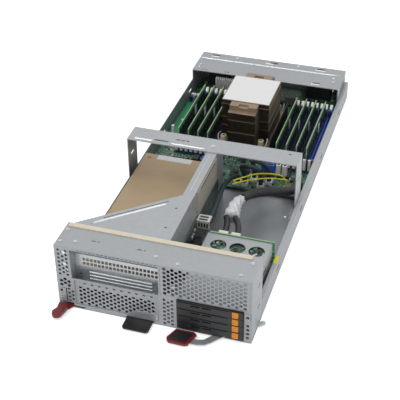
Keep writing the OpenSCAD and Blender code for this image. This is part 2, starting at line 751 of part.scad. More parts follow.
module case_screws() color([0.82, 0.82, 0.8]) {
    for (p = [[5, 9], [22.4, 12.6], [122, 13], [150, 7], [chassis_w - 16, 8.4], [chassis_w - 8.5, 32], [5, 32]])
        screw_head([p.x, p.y, front_h]);
    screw_head([riser_x - 8.6, bridge_y + 14, front_h], 3.2);
    for (p = [[12, 84], [12.4, 67]])
        datum([p.x, 0, p.y]) rotate([90, 0, 0]) cylinder(r = 2.2, h = 0.8);
    for (x = [10, chassis_w - rail_w - 12], y = [rear_y + 20]) screw_head([x, y, rear_h]);
}

// ---- cables ----

function unit(v) = v / norm(v);
function heading(p, i) = unit(p[min(i + 1, len(p) - 1)] - p[max(i - 1, 0)]);
function ring(p, i, r, sides) =
    let (t = heading(p, i), a = unit(cross(t, abs(t.z) > 0.9 ? [1, 0, 0] : [0, 0, 1])), b = cross(a, t))
    [for (k = [0 : sides - 1]) p[i] + r * (cos(360 * k / sides) * a + sin(360 * k / sides) * b)];

// A tube of given radii through a list of points, closed at both ends
module tube(p, r, sides = 8) {
    n = len(p);
    radius = function (i) is_list(r) ? r[i] : r;
    points = [for (i = [0 : n - 1]) each ring(p, i, radius(i), sides)];
    sides_faces = [for (i = [0 : n - 2], k = [0 : sides - 1])
        [i * sides + k, i * sides + (k + 1) % sides, (i + 1) * sides + (k + 1) % sides, (i + 1) * sides + k]];
    caps = [[for (k = [sides - 1 : -1 : 0]) k], [for (k = [0 : sides - 1]) (n - 1) * sides + k]];
    datum() polyhedron(points, concat(sides_faces, caps));
}

data_route = [
    [[142, 158, 46], [142, 176, 46], [140, 200, 46], [138, 225, 44], [137, 250, 40], [138, 270, 34],
     [139, 286, 26], [140, 299, 19], [140, 299, 12]],
    [[150, 299, 12], [150, 299, 22], [148, 291, 40], [150, 284, 48], [157, 280, 52], [165, 281, 50],
     [171, 288, 42], [173, 299, 24], [173, 299, 12]],
    [[160, 314, 12], [160, 314, 24], [160, 303, 42], [164, 297, 50], [171, 297, 50], [178, 302, 42],
     [182, 311, 24], [182, 311, 12]]
];
cable_foot = 12;
board_ends = [for (route = data_route, p = route) if (p.z == cable_foot) p];
lead_route = [
    [[167, 138, 44], [167, 147, 44], [164, 162, 44], [160, 173, 42]],
    [[183, 138, 44], [183, 147, 44], [178, 162, 45], [172, 173, 43]]
];
wrap_route = [[166, 175, 42], [165, 188, 43], [165, 202, 44], [168, 216, 43]];
bundle_route = [[168.6, 219, 42.6], [174, 232, 40], [184, 246, 36], [197, 257, 33], [211, 266, 30], [221, 278, 26],
                [225, 290, 25], [225.5, 299.5, 22], [225.5, 299.5, 14]];
wire_route = [
    [[150, 236, 50], [162, 246, 50], [176, 258, 48], [192, 268, 46], [206, 276, 42], [213, 290, 32], [213, 298, 22], [213, 298, 13]],
    [[150, 240, 53], [162, 250, 54], [176, 262, 54], [192, 273, 50], [204, 282, 44], [209, 292, 32], [209, 298, 22], [209, 298, 13]]
];

module data_cables() color([0.04, 0.15, 0.2]) for (route = data_route) tube(route, 3.4);

module power_cable() color([0.12, 0.12, 0.13]) {
    for (route = lead_route) tube(route, 4);
    tube(bundle_route, 6.5, 10);
}

module signal_wires() color([0.85, 0.8, 0.1]) for (route = wire_route) tube(route, 0.9);

module cable_wrap() color([0.88, 0.88, 0.9]) tube(wrap_route, [10.5, 8.5, 8, 7], 10);

module cable_connectors() color([0.92, 0.92, 0.9]) {
    for (x = [161, 177]) block([x, backplane_y + pcb, 38], [12, 6.2, 10]);
    block([riser_board_x + pcb, 144, 40], [16.6, 13.6, 12]);
    for (p = board_ends) block([p.x - 4.6, p.y - 4.6, board_top], [9.2, 9.2, p.z - board_top]);
    block([205, 293.4, board_top], [12, 9.2, wire_route[0][7].z - board_top]);
    block([218, 292, board_top], [15, 15, bundle_route[8].z - board_top]);
}

base_tray();
front_cage();
front_bezel();
intake_grille();
emi_gasket();
bay_shroud();
vent_bracket();
blank_bracket();
lower_bay_cover();
bracket_clamp();
control_panel();
bridge_bracket();
rear_bracket();
riser_bracket();
riser_side_plate();
riser_board();
card_backplate();
card_board();
card_shroud();
mainboard();
board_standoffs();
drive_cage();
drive_backplane();
cable_connectors();
cpu_socket();
cooler_base_plate();
cooler_fins();
cooler_nuts();
cooler_caps();
memory_slots();
memory_modules();
regulator_heatsink();
air_guide();
rear_connectors();
board_chips();
data_cables();
power_cable();
signal_wires();
cable_wrap();
lever_pivots();
case_screws();
front_latches();
rear_latches();
left_lever();
right_lever_arm();
right_lever_grip();
pull_tab();
power_button();
drive_tray(0);  // drive_tray_1
drive_tray(1);  // drive_tray_2
drive_tray(2);  // drive_tray_3
drive_tray(3);  // drive_tray_4
tray_latch(0);  // tray_latch_1
tray_latch(1);  // tray_latch_2
tray_latch(2);  // tray_latch_3
tray_latch(3);  // tray_latch_4
drive(0);  // drive_1
drive(1);  // drive_2
drive(2);  // drive_3
drive(3);  // drive_4
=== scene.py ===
"""Studio model of an open blade server: finishes, boards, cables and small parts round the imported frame."""

import logging
import math
import random
from dataclasses import dataclass, field
from enum import Enum
from typing import Any, Callable, Iterable, Optional, Sequence

import bmesh
import bpy
from mathutils import Matrix, Vector

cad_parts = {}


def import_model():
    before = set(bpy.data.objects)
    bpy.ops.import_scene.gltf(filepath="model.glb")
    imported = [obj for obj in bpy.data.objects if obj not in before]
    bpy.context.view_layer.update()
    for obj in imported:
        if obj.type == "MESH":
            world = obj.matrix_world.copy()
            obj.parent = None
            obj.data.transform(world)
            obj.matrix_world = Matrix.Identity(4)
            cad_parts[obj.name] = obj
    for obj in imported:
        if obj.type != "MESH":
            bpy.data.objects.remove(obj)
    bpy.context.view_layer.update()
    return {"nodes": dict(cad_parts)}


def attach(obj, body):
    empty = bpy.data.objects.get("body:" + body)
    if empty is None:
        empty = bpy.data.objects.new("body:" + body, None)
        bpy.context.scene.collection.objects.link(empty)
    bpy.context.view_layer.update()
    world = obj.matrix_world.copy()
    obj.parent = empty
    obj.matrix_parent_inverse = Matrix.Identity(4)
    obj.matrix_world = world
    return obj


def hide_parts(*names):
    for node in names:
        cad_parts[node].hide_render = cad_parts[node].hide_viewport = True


LOG = logging.getLogger("blade_server")
MM = 0.001
CHASSIS = "chassis"
Colour = tuple[float, float, float]
Point = tuple[float, float, float]
Plan = tuple[float, float]
Socket = bpy.types.NodeSocket
# The chassis's front left corner, in millimetres from the model's origin
DATUM: Point = (120.0, 295.0, 0.0)


class Grain(Enum):
    """Direction in which a brushed or drawn finish runs."""

    ALONG_X = (2.0, 60.0, 60.0)
    ALONG_Y = (60.0, 2.0, 60.0)
    ALONG_Z = (60.0, 60.0, 2.0)


# ---------------------------------------------------------------- shader nodes


class ShaderTree:
    """Node tree of one material, with short calls for the patterns that the finishes share."""

    def __init__(self, name: str) -> None:
        """Starts a material with one principled surface.

        Args:
            name: Name of the material.
        """
        self.material = bpy.data.materials.new(name)
        self.material.use_nodes = True
        self.nodes = self.material.node_tree.nodes
        self.links = self.material.node_tree.links
        self.nodes.clear()
        self.output = self.nodes.new("ShaderNodeOutputMaterial")
        self.surface = self.nodes.new("ShaderNodeBsdfPrincipled")
        self.links.new(self.surface.outputs[0], self.output.inputs["Surface"])
        self.place = self.nodes.new("ShaderNodeTexCoord").outputs["Object"]

    def add(self, kind: str, modes: Optional[dict[str, Any]] = None, **sockets: Any) -> bpy.types.Node:
        """Adds one node.

        Args:
            kind: Type name of the node.
            modes: Properties of the node, such as its operation.
            **sockets: Input sockets by name with underscores for spaces, each a value or a link.

        Returns:
            The new node.
        """
        node = self.nodes.new(kind)
        for key, value in (modes or {}).items():
            setattr(node, key, value)
        for key, value in sockets.items():
            index = int(key[1:]) if key[0] == "i" and key[1:].isdigit() else key.replace("_", " ")
            self.join(value, node.inputs[index])
        return node

    def join(self, value: Any, socket: Socket) -> None:
        """Links or sets one input socket."""
        if isinstance(value, Socket):
            self.links.new(value, socket)
        elif isinstance(value, tuple) and len(value) == 3 and socket.type == "RGBA":
            socket.default_value = (*value, 1.0)
        else:
            socket.default_value = value

    def stretched(self, scale: Point, turn: Point = (0.0, 0.0, 0.0)) -> Socket:
        """Returns the object's coordinates stretched and turned."""
        return self.add("ShaderNodeMapping", Vector=self.place, Scale=scale, Rotation=turn).outputs[0]

    def noise(self, scale: float, detail: float = 2.0, vector: Any = None) -> Socket:
        """Returns a noise value from 0 to 1."""
        vector = vector or self.place
        return self.add("ShaderNodeTexNoise", Vector=vector, Scale=scale, Detail=detail).outputs[0]

    def cells(self, scale: float, vector: Any = None, metric: str = "EUCLIDEAN") -> bpy.types.Node:
        """Returns a Voronoi node of random cells."""
        vector = vector or self.place
        return self.add("ShaderNodeTexVoronoi", {"distance": metric}, Vector=vector, Scale=scale)

    def maths(self, operation: str, first: Any, second: Any = 0.0, third: Any = 0.0) -> Socket:
        """Returns the result of one arithmetic operation."""
        return self.add("ShaderNodeMath", {"operation": operation}, i0=first, i1=second, i2=third).outputs[0]

    def levels(self, value: Any, low: float, high: float, out_low: float, out_high: float) -> Socket:
        """Returns a value mapped from one range to another and clamped."""
        node = self.add("ShaderNodeMapRange", Value=value)
        for index, number in enumerate((low, high, out_low, out_high), start=1):
            node.inputs[index].default_value = number
        return node.outputs[0]

    def mix(self, factor: Any, first: Any, second: Any, mode: str = "MIX") -> Socket:
        """Returns a blend of two colours."""
        node = self.add("ShaderNodeMix", {"data_type": "RGBA", "blend_type": mode})
        self.join(factor, node.inputs[0])
        self.join(first, node.inputs[6])
        self.join(second, node.inputs[7])
        return node.outputs[2]

    def relief(self, height: Any, depth: float, edge: float = 0.0) -> None:
        """Gives the surface a bump, on edges that are softened first.

        Args:
            height: Height pattern from 0 to 1.
            depth: Depth of the pattern in metres.
            edge: Radius of the softened edges in metres, or 0 for none.
        """
        bump = self.add("ShaderNodeBump", Height=height, Distance=depth, Strength=1.0)
        if edge:
            soft = self.add("ShaderNodeBevel", {"samples": 4}, Radius=edge)
            self.join(soft.outputs[0], bump.inputs["Normal"])
        self.join(bump.outputs[0], self.surface.inputs["Normal"])

    def split(self) -> tuple[Socket, Socket, Socket]:
        """Returns the object's X, Y and Z as separate values."""
        node = self.add("ShaderNodeSeparateXYZ", Vector=self.place)
        return node.outputs[0], node.outputs[1], node.outputs[2]

    def finish(self, **sockets: Any) -> bpy.types.Material:
        """Sets the surface's own sockets and returns the material."""
        for key, value in sockets.items():
            self.join(value, self.surface.inputs[key.replace("_", " ")])
        return self.material


@dataclass(frozen=True)
class Finish:
    """A surface finish that several pieces share."""

    name: str
    colour: Colour
    roughness: float = 0.5

    def material(self) -> bpy.types.Material:
        """Returns the finish's material, made on its first use."""
        return bpy.data.materials.get(self.name) or self.make(ShaderTree(self.name))

    def make(self, tree: ShaderTree) -> bpy.types.Material:
        """Builds the material's nodes."""
        return tree.finish(Base_Color=self.colour, Roughness=self.roughness)

    def shade(self, amount: float) -> Colour:
        """Returns the colour made lighter or darker by a factor."""
        return tuple(min(1.0, part * amount) for part in self.colour)


@dataclass(frozen=True)
class SheetSteel(Finish):
    """Zinc-coated sheet with crystals, rolling marks, handling smudges and softened edges."""

    metallic: float = 0.45
    crystal: float = 420.0
    contrast: float = 0.045
    edge: float = 0.0003

    def make(self, tree: ShaderTree) -> bpy.types.Material:
        """Builds the material's nodes."""
        crystals = tree.cells(self.crystal, tree.stretched((1.0, 0.8, 1.0)))
        tone = tree.levels(crystals.outputs["Color"], 0.0, 1.0, 0.0, 1.0)
        cloud = tree.noise(18.0, 4.0)
        rolled = tree.noise(9.0, 3.0, tree.stretched((3.0, 90.0, 90.0)))
        light, dark = self.shade(1.0 + self.contrast), self.shade(1.0 - self.contrast)
        colour = tree.mix(tone, dark, light)
        colour = tree.mix(tree.levels(cloud, 0.35, 0.7, 0.0, 0.35), colour, self.shade(0.93))
        rough = tree.maths("ADD", tree.levels(rolled, 0.3, 0.7, -0.06, 0.06),
                           tree.levels(tone, 0.0, 1.0, -0.05, 0.05))
        rough = tree.maths("ADD", rough, self.roughness)
        tree.relief(tree.maths("ADD", tree.maths("MULTIPLY", tone, 0.3), rolled), 0.00002, self.edge)
        return tree.finish(Base_Color=colour, Roughness=rough, Metallic=self.metallic)


@dataclass(frozen=True)
class BrushedMetal(Finish):
    """Drawn or brushed metal with fine lines one way and faint stains."""

    metallic: float = 0.9
    grain: Grain = Grain.ALONG_X
    contrast: float = 0.12

    def make(self, tree: ShaderTree) -> bpy.types.Material:
        """Builds the material's nodes."""
        lines = tree.noise(12.0, 5.0, tree.stretched(self.grain.value))
        stains = tree.noise(35.0, 3.0)
        colour = tree.mix(lines, self.shade(1.0 - self.contrast), self.shade(1.0 + self.contrast))
        colour = tree.mix(tree.levels(stains, 0.45, 0.75, 0.0, 0.3), colour, self.shade(0.8))
        rough = tree.maths("ADD", tree.levels(lines, 0.3, 0.7, -0.07, 0.08), self.roughness)
        tree.relief(lines, 0.00003, 0.0002)
        return tree.finish(Base_Color=colour, Roughness=rough, Metallic=self.metallic)


@dataclass(frozen=True)
class Moulded(Finish):
    """Moulded plastic with a fine grain, flow marks and rubbed edges."""

    grain: float = 2600.0
    depth: float = 0.00003

    def make(self, tree: ShaderTree) -> bpy.types.Material:
        """Builds the material's nodes."""
        fine = tree.noise(self.grain, 2.0)
        flow = tree.noise(26.0, 3.0)
        colour = tree.mix(tree.levels(flow, 0.3, 0.7, 0.0, 0.6), self.colour, self.shade(0.82))
        colour = tree.mix(tree.levels(fine, 0.55, 0.8, 0.0, 0.25), colour, self.shade(1.25))
        rough = tree.maths("ADD", tree.levels(fine, 0.3, 0.7, -0.08, 0.08), self.roughness)
        tree.relief(fine, self.depth, 0.00025)
        return tree.finish(Base_Color=colour, Roughness=rough)


@dataclass(frozen=True)
class PrintedBoard(Finish):
    """Solder-masked board with bundles of traces, plated holes and small white marks."""

    copper: Colour = (0.05, 0.24, 0.11)
    marks: float = 0.5
    pitch: float = 2400.0

    def make(self, tree: ShaderTree) -> bpy.types.Material:
        """Builds the material's nodes."""
        x, y, z = tree.split()
        zones = tree.cells(60.0, metric="CHEBYCHEV")
        zone = tree.add("ShaderNodeSeparateColor", Color=zones.outputs[1]).outputs[0]
        pick = tree.maths("GREATER_THAN", zone, 0.5)
        run = tree.maths("ADD", tree.maths("MULTIPLY", x, pick),
                         tree.maths("MULTIPLY", tree.maths("ADD", y, z), tree.maths("SUBTRACT", 1.0, pick)))
        stripe = tree.maths("GREATER_THAN", tree.maths("SINE", tree.maths("MULTIPLY", run, self.pitch)), 0.15)
        patch = tree.levels(tree.noise(55.0, 1.0), 0.47, 0.52, 0.0, 1.0)
        traces = tree.maths("MULTIPLY", stripe, patch)
        colour = tree.mix(tree.maths("MULTIPLY", traces, 0.75), self.colour, self.copper)
        pour = tree.levels(tree.cells(25.0, metric="MANHATTAN").outputs[0], 0.3, 0.34, 0.0, 0.5)
        colour = tree.mix(pour, colour, self.shade(1.7))
        holes = tree.levels(tree.cells(330.0).outputs[0], 0.09, 0.13, 1.0, 0.0)
        colour = tree.mix(tree.maths("MULTIPLY", holes, 0.8), colour, (0.55, 0.5, 0.32))
        specks = tree.noise(900.0, 0.0, tree.stretched((1.0, 2.2, 1.0)))
        legend = tree.levels(specks, 0.69, 0.7, 0.0, self.marks)
        colour = tree.mix(legend, colour, (0.78, 0.8, 0.76))
        tree.relief(tree.maths("ADD", traces, holes), 0.00003)
        return tree.finish(Base_Color=colour, Roughness=tree.levels(traces, 0.0, 1.0, self.roughness, 0.28),
                           Coat_Weight=0.25, Coat_Roughness=0.2)


@dataclass(frozen=True)
class Woven(Finish):
    """Conductive cloth wrapped over foam, with a tight weave and slight creases."""

    thread: float = 5200.0

    def make(self, tree: ShaderTree) -> bpy.types.Material:
        """Builds the material's nodes."""
        x, y, z = tree.split()
        over = tree.maths("SINE", tree.maths("MULTIPLY", x, self.thread))
        under = tree.maths("SINE", tree.maths("MULTIPLY", tree.maths("ADD", y, z), self.thread))
        weave = tree.levels(tree.maths("MULTIPLY", over, under), -1.0, 1.0, 0.0, 1.0)
        crease = tree.noise(70.0, 3.0, tree.stretched((1.0, 6.0, 6.0)))
        colour = tree.mix(weave, self.shade(0.86), self.shade(1.06))
        colour = tree.mix(tree.levels(crease, 0.4, 0.75, 0.0, 0.5), colour, self.shade(0.78))
        tree.relief(tree.maths("ADD", weave, tree.maths("MULTIPLY", crease, 4.0)), 0.00006)
        return tree.finish(Base_Color=colour, Roughness=self.roughness, Metallic=0.15)


@dataclass(frozen=True)
class Braid(Finish):
    """Braided sleeve whose threads follow the cable's own map."""

    second: Colour = (0.3, 0.3, 0.32)
    around: float = 10.0
    along: float = 900.0

    def make(self, tree: ShaderTree) -> bpy.types.Material:
        """Builds the material's nodes."""
        route = tree.add("ShaderNodeUVMap", {"uv_map": "route"}).outputs[0]
        part = tree.add("ShaderNodeSeparateXYZ", Vector=route)
        turn = tree.maths("MULTIPLY", part.outputs[0], self.around * 2.0 * math.pi)
        step = tree.maths("MULTIPLY", part.outputs[1], self.along)
        left = tree.maths("SINE", tree.maths("ADD", turn, step))
        right = tree.maths("SINE", tree.maths("SUBTRACT", turn, step))
        weave = tree.levels(tree.maths("MULTIPLY", left, right), -0.6, 0.6, 0.0, 1.0)
        lead = tree.levels(left, -0.2, 0.2, 0.0, 1.0)
        colour = tree.mix(lead, self.colour, self.second)
        colour = tree.mix(tree.levels(weave, 0.0, 1.0, 0.5, 0.0), colour, self.shade(0.4))
        tree.relief(weave, 0.00025)
        return tree.finish(Base_Color=colour, Roughness=self.roughness)


@dataclass(frozen=True)
class Paper(Finish):
    """Plain printed label with a fibre and slightly soiled edges."""

    def make(self, tree: ShaderTree) -> bpy.types.Material:
        """Builds the material's nodes."""
        fibre = tree.noise(1500.0, 4.0)
        soil = tree.noise(60.0, 3.0)
        colour = tree.mix(tree.levels(fibre, 0.3, 0.7, 0.0, 0.5), self.colour, self.shade(0.93))
        colour = tree.mix(tree.levels(soil, 0.55, 0.8, 0.0, 0.4), colour, self.shade(0.85))
        tree.relief(fibre, 0.00001)
        return tree.finish(Base_Color=colour, Roughness=self.roughness)


STEEL = SheetSteel("galvanised sheet", (0.36, 0.38, 0.395), 0.46)
PALE_STEEL = SheetSteel("pale zinc sheet", (0.4, 0.42, 0.435), 0.42, crystal=300.0)
# Darker copy of the sheet: the base tray is finished darker, and the strip along the riser bracket's fold
# uses it as painted shade.
DARK_STEEL = SheetSteel("darker sheet, painted shade", (0.3, 0.318, 0.34), 0.42)
PLAIN_GREEN = Moulded("bare green mask", (0.012, 0.24, 0.1), 0.35, grain=1200.0)
SLIT = Moulded("shaded slit", (0.08, 0.05, 0.02), 0.6)
# Lighter copy of the sheet for the pressed ribs: painted highlight along the ribs.
RIB_STEEL_PAINTED_HIGHLIGHT = SheetSteel("rib sheet, painted highlight", (0.56, 0.58, 0.6), 0.3, metallic=0.6, crystal=300.0)
# Near-white finish that paints highlights: bright slots and dots on the rear bracket, the lit lip of the
# riser fold and the lit regulator fins.
PAINTED_HIGHLIGHT_WHITE = BrushedMetal("white painted highlight", (0.9, 0.9, 0.9), 0.3, metallic=0.2)
NUT = Moulded("cream nut", (0.62, 0.53, 0.38), 0.4)
DARK_BOARD = PrintedBoard("dark riser board", (0.004, 0.022, 0.014), 0.45,
                          copper=(0.015, 0.06, 0.03), marks=0.2)
BRIGHT = BrushedMetal("bright nickel", (0.52, 0.55, 0.57), 0.3, metallic=0.6)
PIN_STEEL = BrushedMetal("turned steel", (0.62, 0.62, 0.61), 0.3, grain=Grain.ALONG_Z)
BEIGE_PLATE = SheetSteel("chromated plate", (0.5, 0.47, 0.41), 0.45, metallic=0.3)
CARD_GOLD = BrushedMetal("sand-blasted bronze cover", (0.4, 0.3, 0.185), 0.5, metallic=0.45, contrast=0.04)
FINS = BrushedMetal("dark bronze fins", (0.2, 0.16, 0.125), 0.38, metallic=0.75, grain=Grain.ALONG_Y)
COPPER = BrushedMetal("aged copper", (0.3, 0.225, 0.16), 0.4, metallic=0.6)
ALUMINIUM = BrushedMetal("extruded aluminium", (0.6, 0.61, 0.62), 0.35, grain=Grain.ALONG_Y)
BRASS_NUT = BrushedMetal("pale brass", (0.68, 0.62, 0.45), 0.35, metallic=0.6)
BOARD = PrintedBoard("green board", (0.004, 0.055, 0.028), 0.4)
BRIGHT_BOARD = PrintedBoard("bright green board", (0.02, 0.2, 0.07), 0.4, copper=(0.06, 0.36, 0.13))
BLACK = Moulded("black plastic", (0.009, 0.009, 0.011), 0.45)
SATIN_BLACK = Moulded("satin black plastic", (0.014, 0.014, 0.016), 0.38)
ORANGE = Moulded("orange plastic", (0.9, 0.33, 0.015), 0.35)
RED = Moulded("dark red plastic", (0.19, 0.012, 0.016), 0.38)
WHITE = Moulded("white nylon", (0.75, 0.75, 0.71), 0.42)
NAVY = Moulded("navy slot plastic", (0.015, 0.022, 0.09), 0.35)
BLUE = Moulded("bright blue plastic", (0.03, 0.12, 0.6), 0.32)
GASKET = Woven("cream gasket cloth", (0.74, 0.67, 0.54), 0.75)
TEAL = Braid("teal ribbon sleeve", (0.006, 0.02, 0.028), 0.45, second=(0.012, 0.045, 0.06), along=2200.0)
MESH_SLEEVE = Braid("grey mesh sleeve", (0.012, 0.012, 0.013), 0.5,
                    second=(0.07, 0.07, 0.075), around=14.0, along=2600.0)
WIRE_YELLOW = Moulded("yellow wire", (0.85, 0.76, 0.03), 0.4)
LABEL = Paper("blank label", (0.84, 0.84, 0.85), 0.5)
WRAP = Paper("white wrap", (0.7, 0.7, 0.74), 0.35)
CHIP = Moulded("chip package", (0.016, 0.016, 0.017), 0.42)
BOARD_EDGE = Moulded("cut board edge", (0.36, 0.5, 0.26), 0.5)

NODE_FINISHES: dict[Finish, str] = {
    STEEL: "front_cage front_bezel intake_grille lower_bay_cover drive_cage rear_bracket",
    DARK_STEEL: "base_tray",
    PALE_STEEL: "bridge_bracket bay_shroud control_panel riser_bracket",
    BRIGHT: "vent_bracket blank_bracket bracket_clamp right_lever_arm",
    PIN_STEEL: "case_screws lever_pivots",
    BEIGE_PLATE: "riser_side_plate",
    GASKET: "emi_gasket",
    CARD_GOLD: "card_backplate",
    FINS: "cooler_fins",
    COPPER: "cooler_base_plate cooler_caps",
    ALUMINIUM: "regulator_heatsink cpu_socket drive_1 drive_2 drive_3 drive_4",
    BRASS_NUT: "board_standoffs cooler_nuts",
    BOARD: "mainboard card_board",
    BRIGHT_BOARD: "drive_backplane memory_modules",
    DARK_BOARD: "riser_board",
    BLACK: "card_shroud air_guide rear_connectors board_chips "
           "drive_tray_1 drive_tray_2 drive_tray_3 drive_tray_4",
    SATIN_BLACK: "pull_tab power_button power_cable",
    ORANGE: "tray_latch_1 tray_latch_2 tray_latch_3 tray_latch_4",
    RED: "left_lever right_lever_grip",
    WHITE: "cable_connectors front_latches rear_latches cable_wrap",
    NAVY: "memory_slots",
    TEAL: "data_cables",
    WIRE_YELLOW: "signal_wires",
}


# ---------------------------------------------------------------- building blocks


@dataclass
class Solids:
    """Gathers simple solids into one mesh, placed in millimetres from the chassis's front left corner."""

    name: str
    corner: Point = DATUM
    points: list[Vector] = field(default_factory=list)
    faces: list[tuple[int, ...]] = field(default_factory=list)
    looks: list[int] = field(default_factory=list)
    finishes: list[Finish] = field(default_factory=list)
    smooth: list[bool] = field(default_factory=list)
    route: dict[int, tuple[Plan, ...]] = field(default_factory=dict)

    def place(self, point: Iterable[float]) -> Vector:
        """Returns a datum point in metres in the model's own frame."""
        return (Vector(point) - Vector(self.corner)) * MM

    def add(self, points: Sequence[Vector], faces: Sequence[tuple[int, ...]], finish: Finish,
            smooth: bool = False) -> None:
        """Adds one closed shape.

        Args:
            points: Its corners in metres.
            faces: Its faces, as indices into the corners.
            finish: Its finish.
            smooth: Whether the faces are shaded smooth.
        """
        if finish not in self.finishes:
            self.finishes.append(finish)
        start = len(self.points)
        self.points.extend(points)
        self.faces.extend(tuple(start + index for index in face) for face in faces)
        self.looks.extend([self.finishes.index(finish)] * len(faces))
        self.smooth.extend([smooth] * len(faces))

    def box(self, low: Point, size: Point, finish: Finish) -> None:
        """Adds a box by its lowest corner and its size."""
        (x, y, z), (a, b, c) = low, size
        corners = [self.place((x + i * a, y + j * b, z + k * c))
                   for k in (0, 1) for j in (0, 1) for i in (0, 1)]
        faces = [(0, 2, 3, 1), (4, 5, 7, 6), (0, 1, 5, 4), (2, 6, 7, 3), (0, 4, 6, 2), (1, 3, 7, 5)]
        self.add(corners, faces, finish)

    def prism(self, outline: Sequence[Plan], low: float, high: float, finish: Finish) -> None:
        """Adds an upright prism over an anticlockwise plan outline."""
        count = len(outline)
        corners = [self.place((x, y, z)) for z in (low, high) for x, y in outline]
        walls = [(i, (i + 1) % count, count + (i + 1) % count, count + i) for i in range(count)]
        caps = [tuple(range(count - 1, -1, -1)), tuple(range(count, 2 * count))]
        self.add(corners, walls + caps, finish)

    def can(self, centre: Point, radius: float, height: float, finish: Finish, sides: int = 16) -> None:
        """Adds an upright cylinder."""
        turns = [2.0 * math.pi * step / sides for step in range(sides)]
        outline = [(centre[0] + radius * math.cos(turn), centre[1] + radius * math.sin(turn))
                   for turn in turns]
        self.prism(outline, centre[2], centre[2] + height, finish)

    def tube(self, route: Sequence[Point], radius: Callable[[float, float], float], finish: Finish,
             sides: int = 20, steps: int = 8, flat: float = 1.0) -> None:
        """Adds a smooth tube along a route.

        Args:
            route: Points that the middle passes through.
            radius: Radius in millimetres at a share of the length and an angle.
            finish: Its finish, which may read the map named route.
            sides: Faces around it.
            steps: Rings between two points of the route.
            flat: Height of the section as a share of its width.
        """
        line = smooth_route(route, steps)
        total = sum((b - a).length for a, b in zip(line, line[1:]))
        points, along, done = [], [], 0.0
        side = Vector((0.0, 0.0, 1.0)).cross(line[1] - line[0])
        side = (side if side.length > 1e-3 else Vector((1.0, 0.0, 0.0))).normalized()
        for index, middle in enumerate(line):
            ahead = (line[min(index + 1, len(line) - 1)] - line[max(index - 1, 0)]).normalized()
            side = (side - ahead * side.dot(ahead)).normalized()
            up = ahead.cross(side)
            done += (middle - line[index - 1]).length if index else 0.0
            along.append(done * MM)
            for step in range(sides):
                turn = 2.0 * math.pi * step / sides
                reach = radius(done / total, turn)
                offset = side * (math.cos(turn) * reach) + up * (math.sin(turn) * reach * flat)
                points.append(self.place(middle + offset))
        faces, start = [], len(self.faces)
        for ring in range(len(line) - 1):
            for step in range(sides):
                after = (step + 1) % sides
                faces.append((ring * sides + step, ring * sides + after, (ring + 1) * sides + after,
                              (ring + 1) * sides + step))
                low, high = along[ring], along[ring + 1]
                self.route[start + len(faces) - 1] = ((step / sides, low), ((step + 1) / sides, low),
                                                      ((step + 1) / sides, high), (step / sides, high))
        last = (len(line) - 1) * sides
        faces += [tuple(range(sides - 1, -1, -1)), tuple(range(last, last + sides))]
        self.add(points, faces, finish, smooth=True)

    def build(self, body: str, slot: str, *replaced: str) -> bpy.types.Object:
        """Args:
            body: The body that it rides on.
            slot: Name of a material slot; not used.
            *replaced: CAD nodes that it stands for.

        Returns:
            The finished object.
        """
        mesh = bpy.data.meshes.new(self.name)
        mesh.from_pydata(self.points, [], self.faces)
        for finish in self.finishes:
            mesh.materials.append(finish.material())
        mesh.polygons.foreach_set("material_index", self.looks)
        mesh.polygons.foreach_set("use_smooth", self.smooth)
        if self.route:
            layer = mesh.uv_layers.new(name="route")
            for index, corners in self.route.items():
                for loop, pair in zip(mesh.polygons[index].loop_indices, corners):
                    layer.data[loop].uv = pair
        return hand_in(bpy.data.objects.new(self.name, mesh), body, replaced)


def hand_in(piece: bpy.types.Object, body: str, replaced: Iterable[str] = ()) -> bpy.types.Object:
    """Links a piece, sets its body, hides the CAD nodes that it replaces, and logs it."""
    bpy.context.scene.collection.objects.link(piece)
    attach(piece, body)
    for name in replaced:
        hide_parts(name)
    LOG.info("made %s with %d faces on %s", piece.name, len(piece.data.polygons), body)
    return piece


def smooth_route(route: Sequence[Point], steps: int) -> list[Vector]:
    """Returns a smooth line through the points of a route."""
    knots = [Vector(point) for point in route]
    padded = [knots[0] * 2 - knots[1], *knots, knots[-1] * 2 - knots[-2]]
    line = []
    for a, b, c, d in zip(padded, padded[1:], padded[2:], padded[3:]):
        for step in range(steps):
            t = step / steps
            line.append(0.5 * (2 * b + (c - a) * t + (2 * a - 5 * b + 4 * c - d) * t * t
                               + (3 * b - 3 * c + d - a) * t ** 3))
    return line + [knots[-1]]


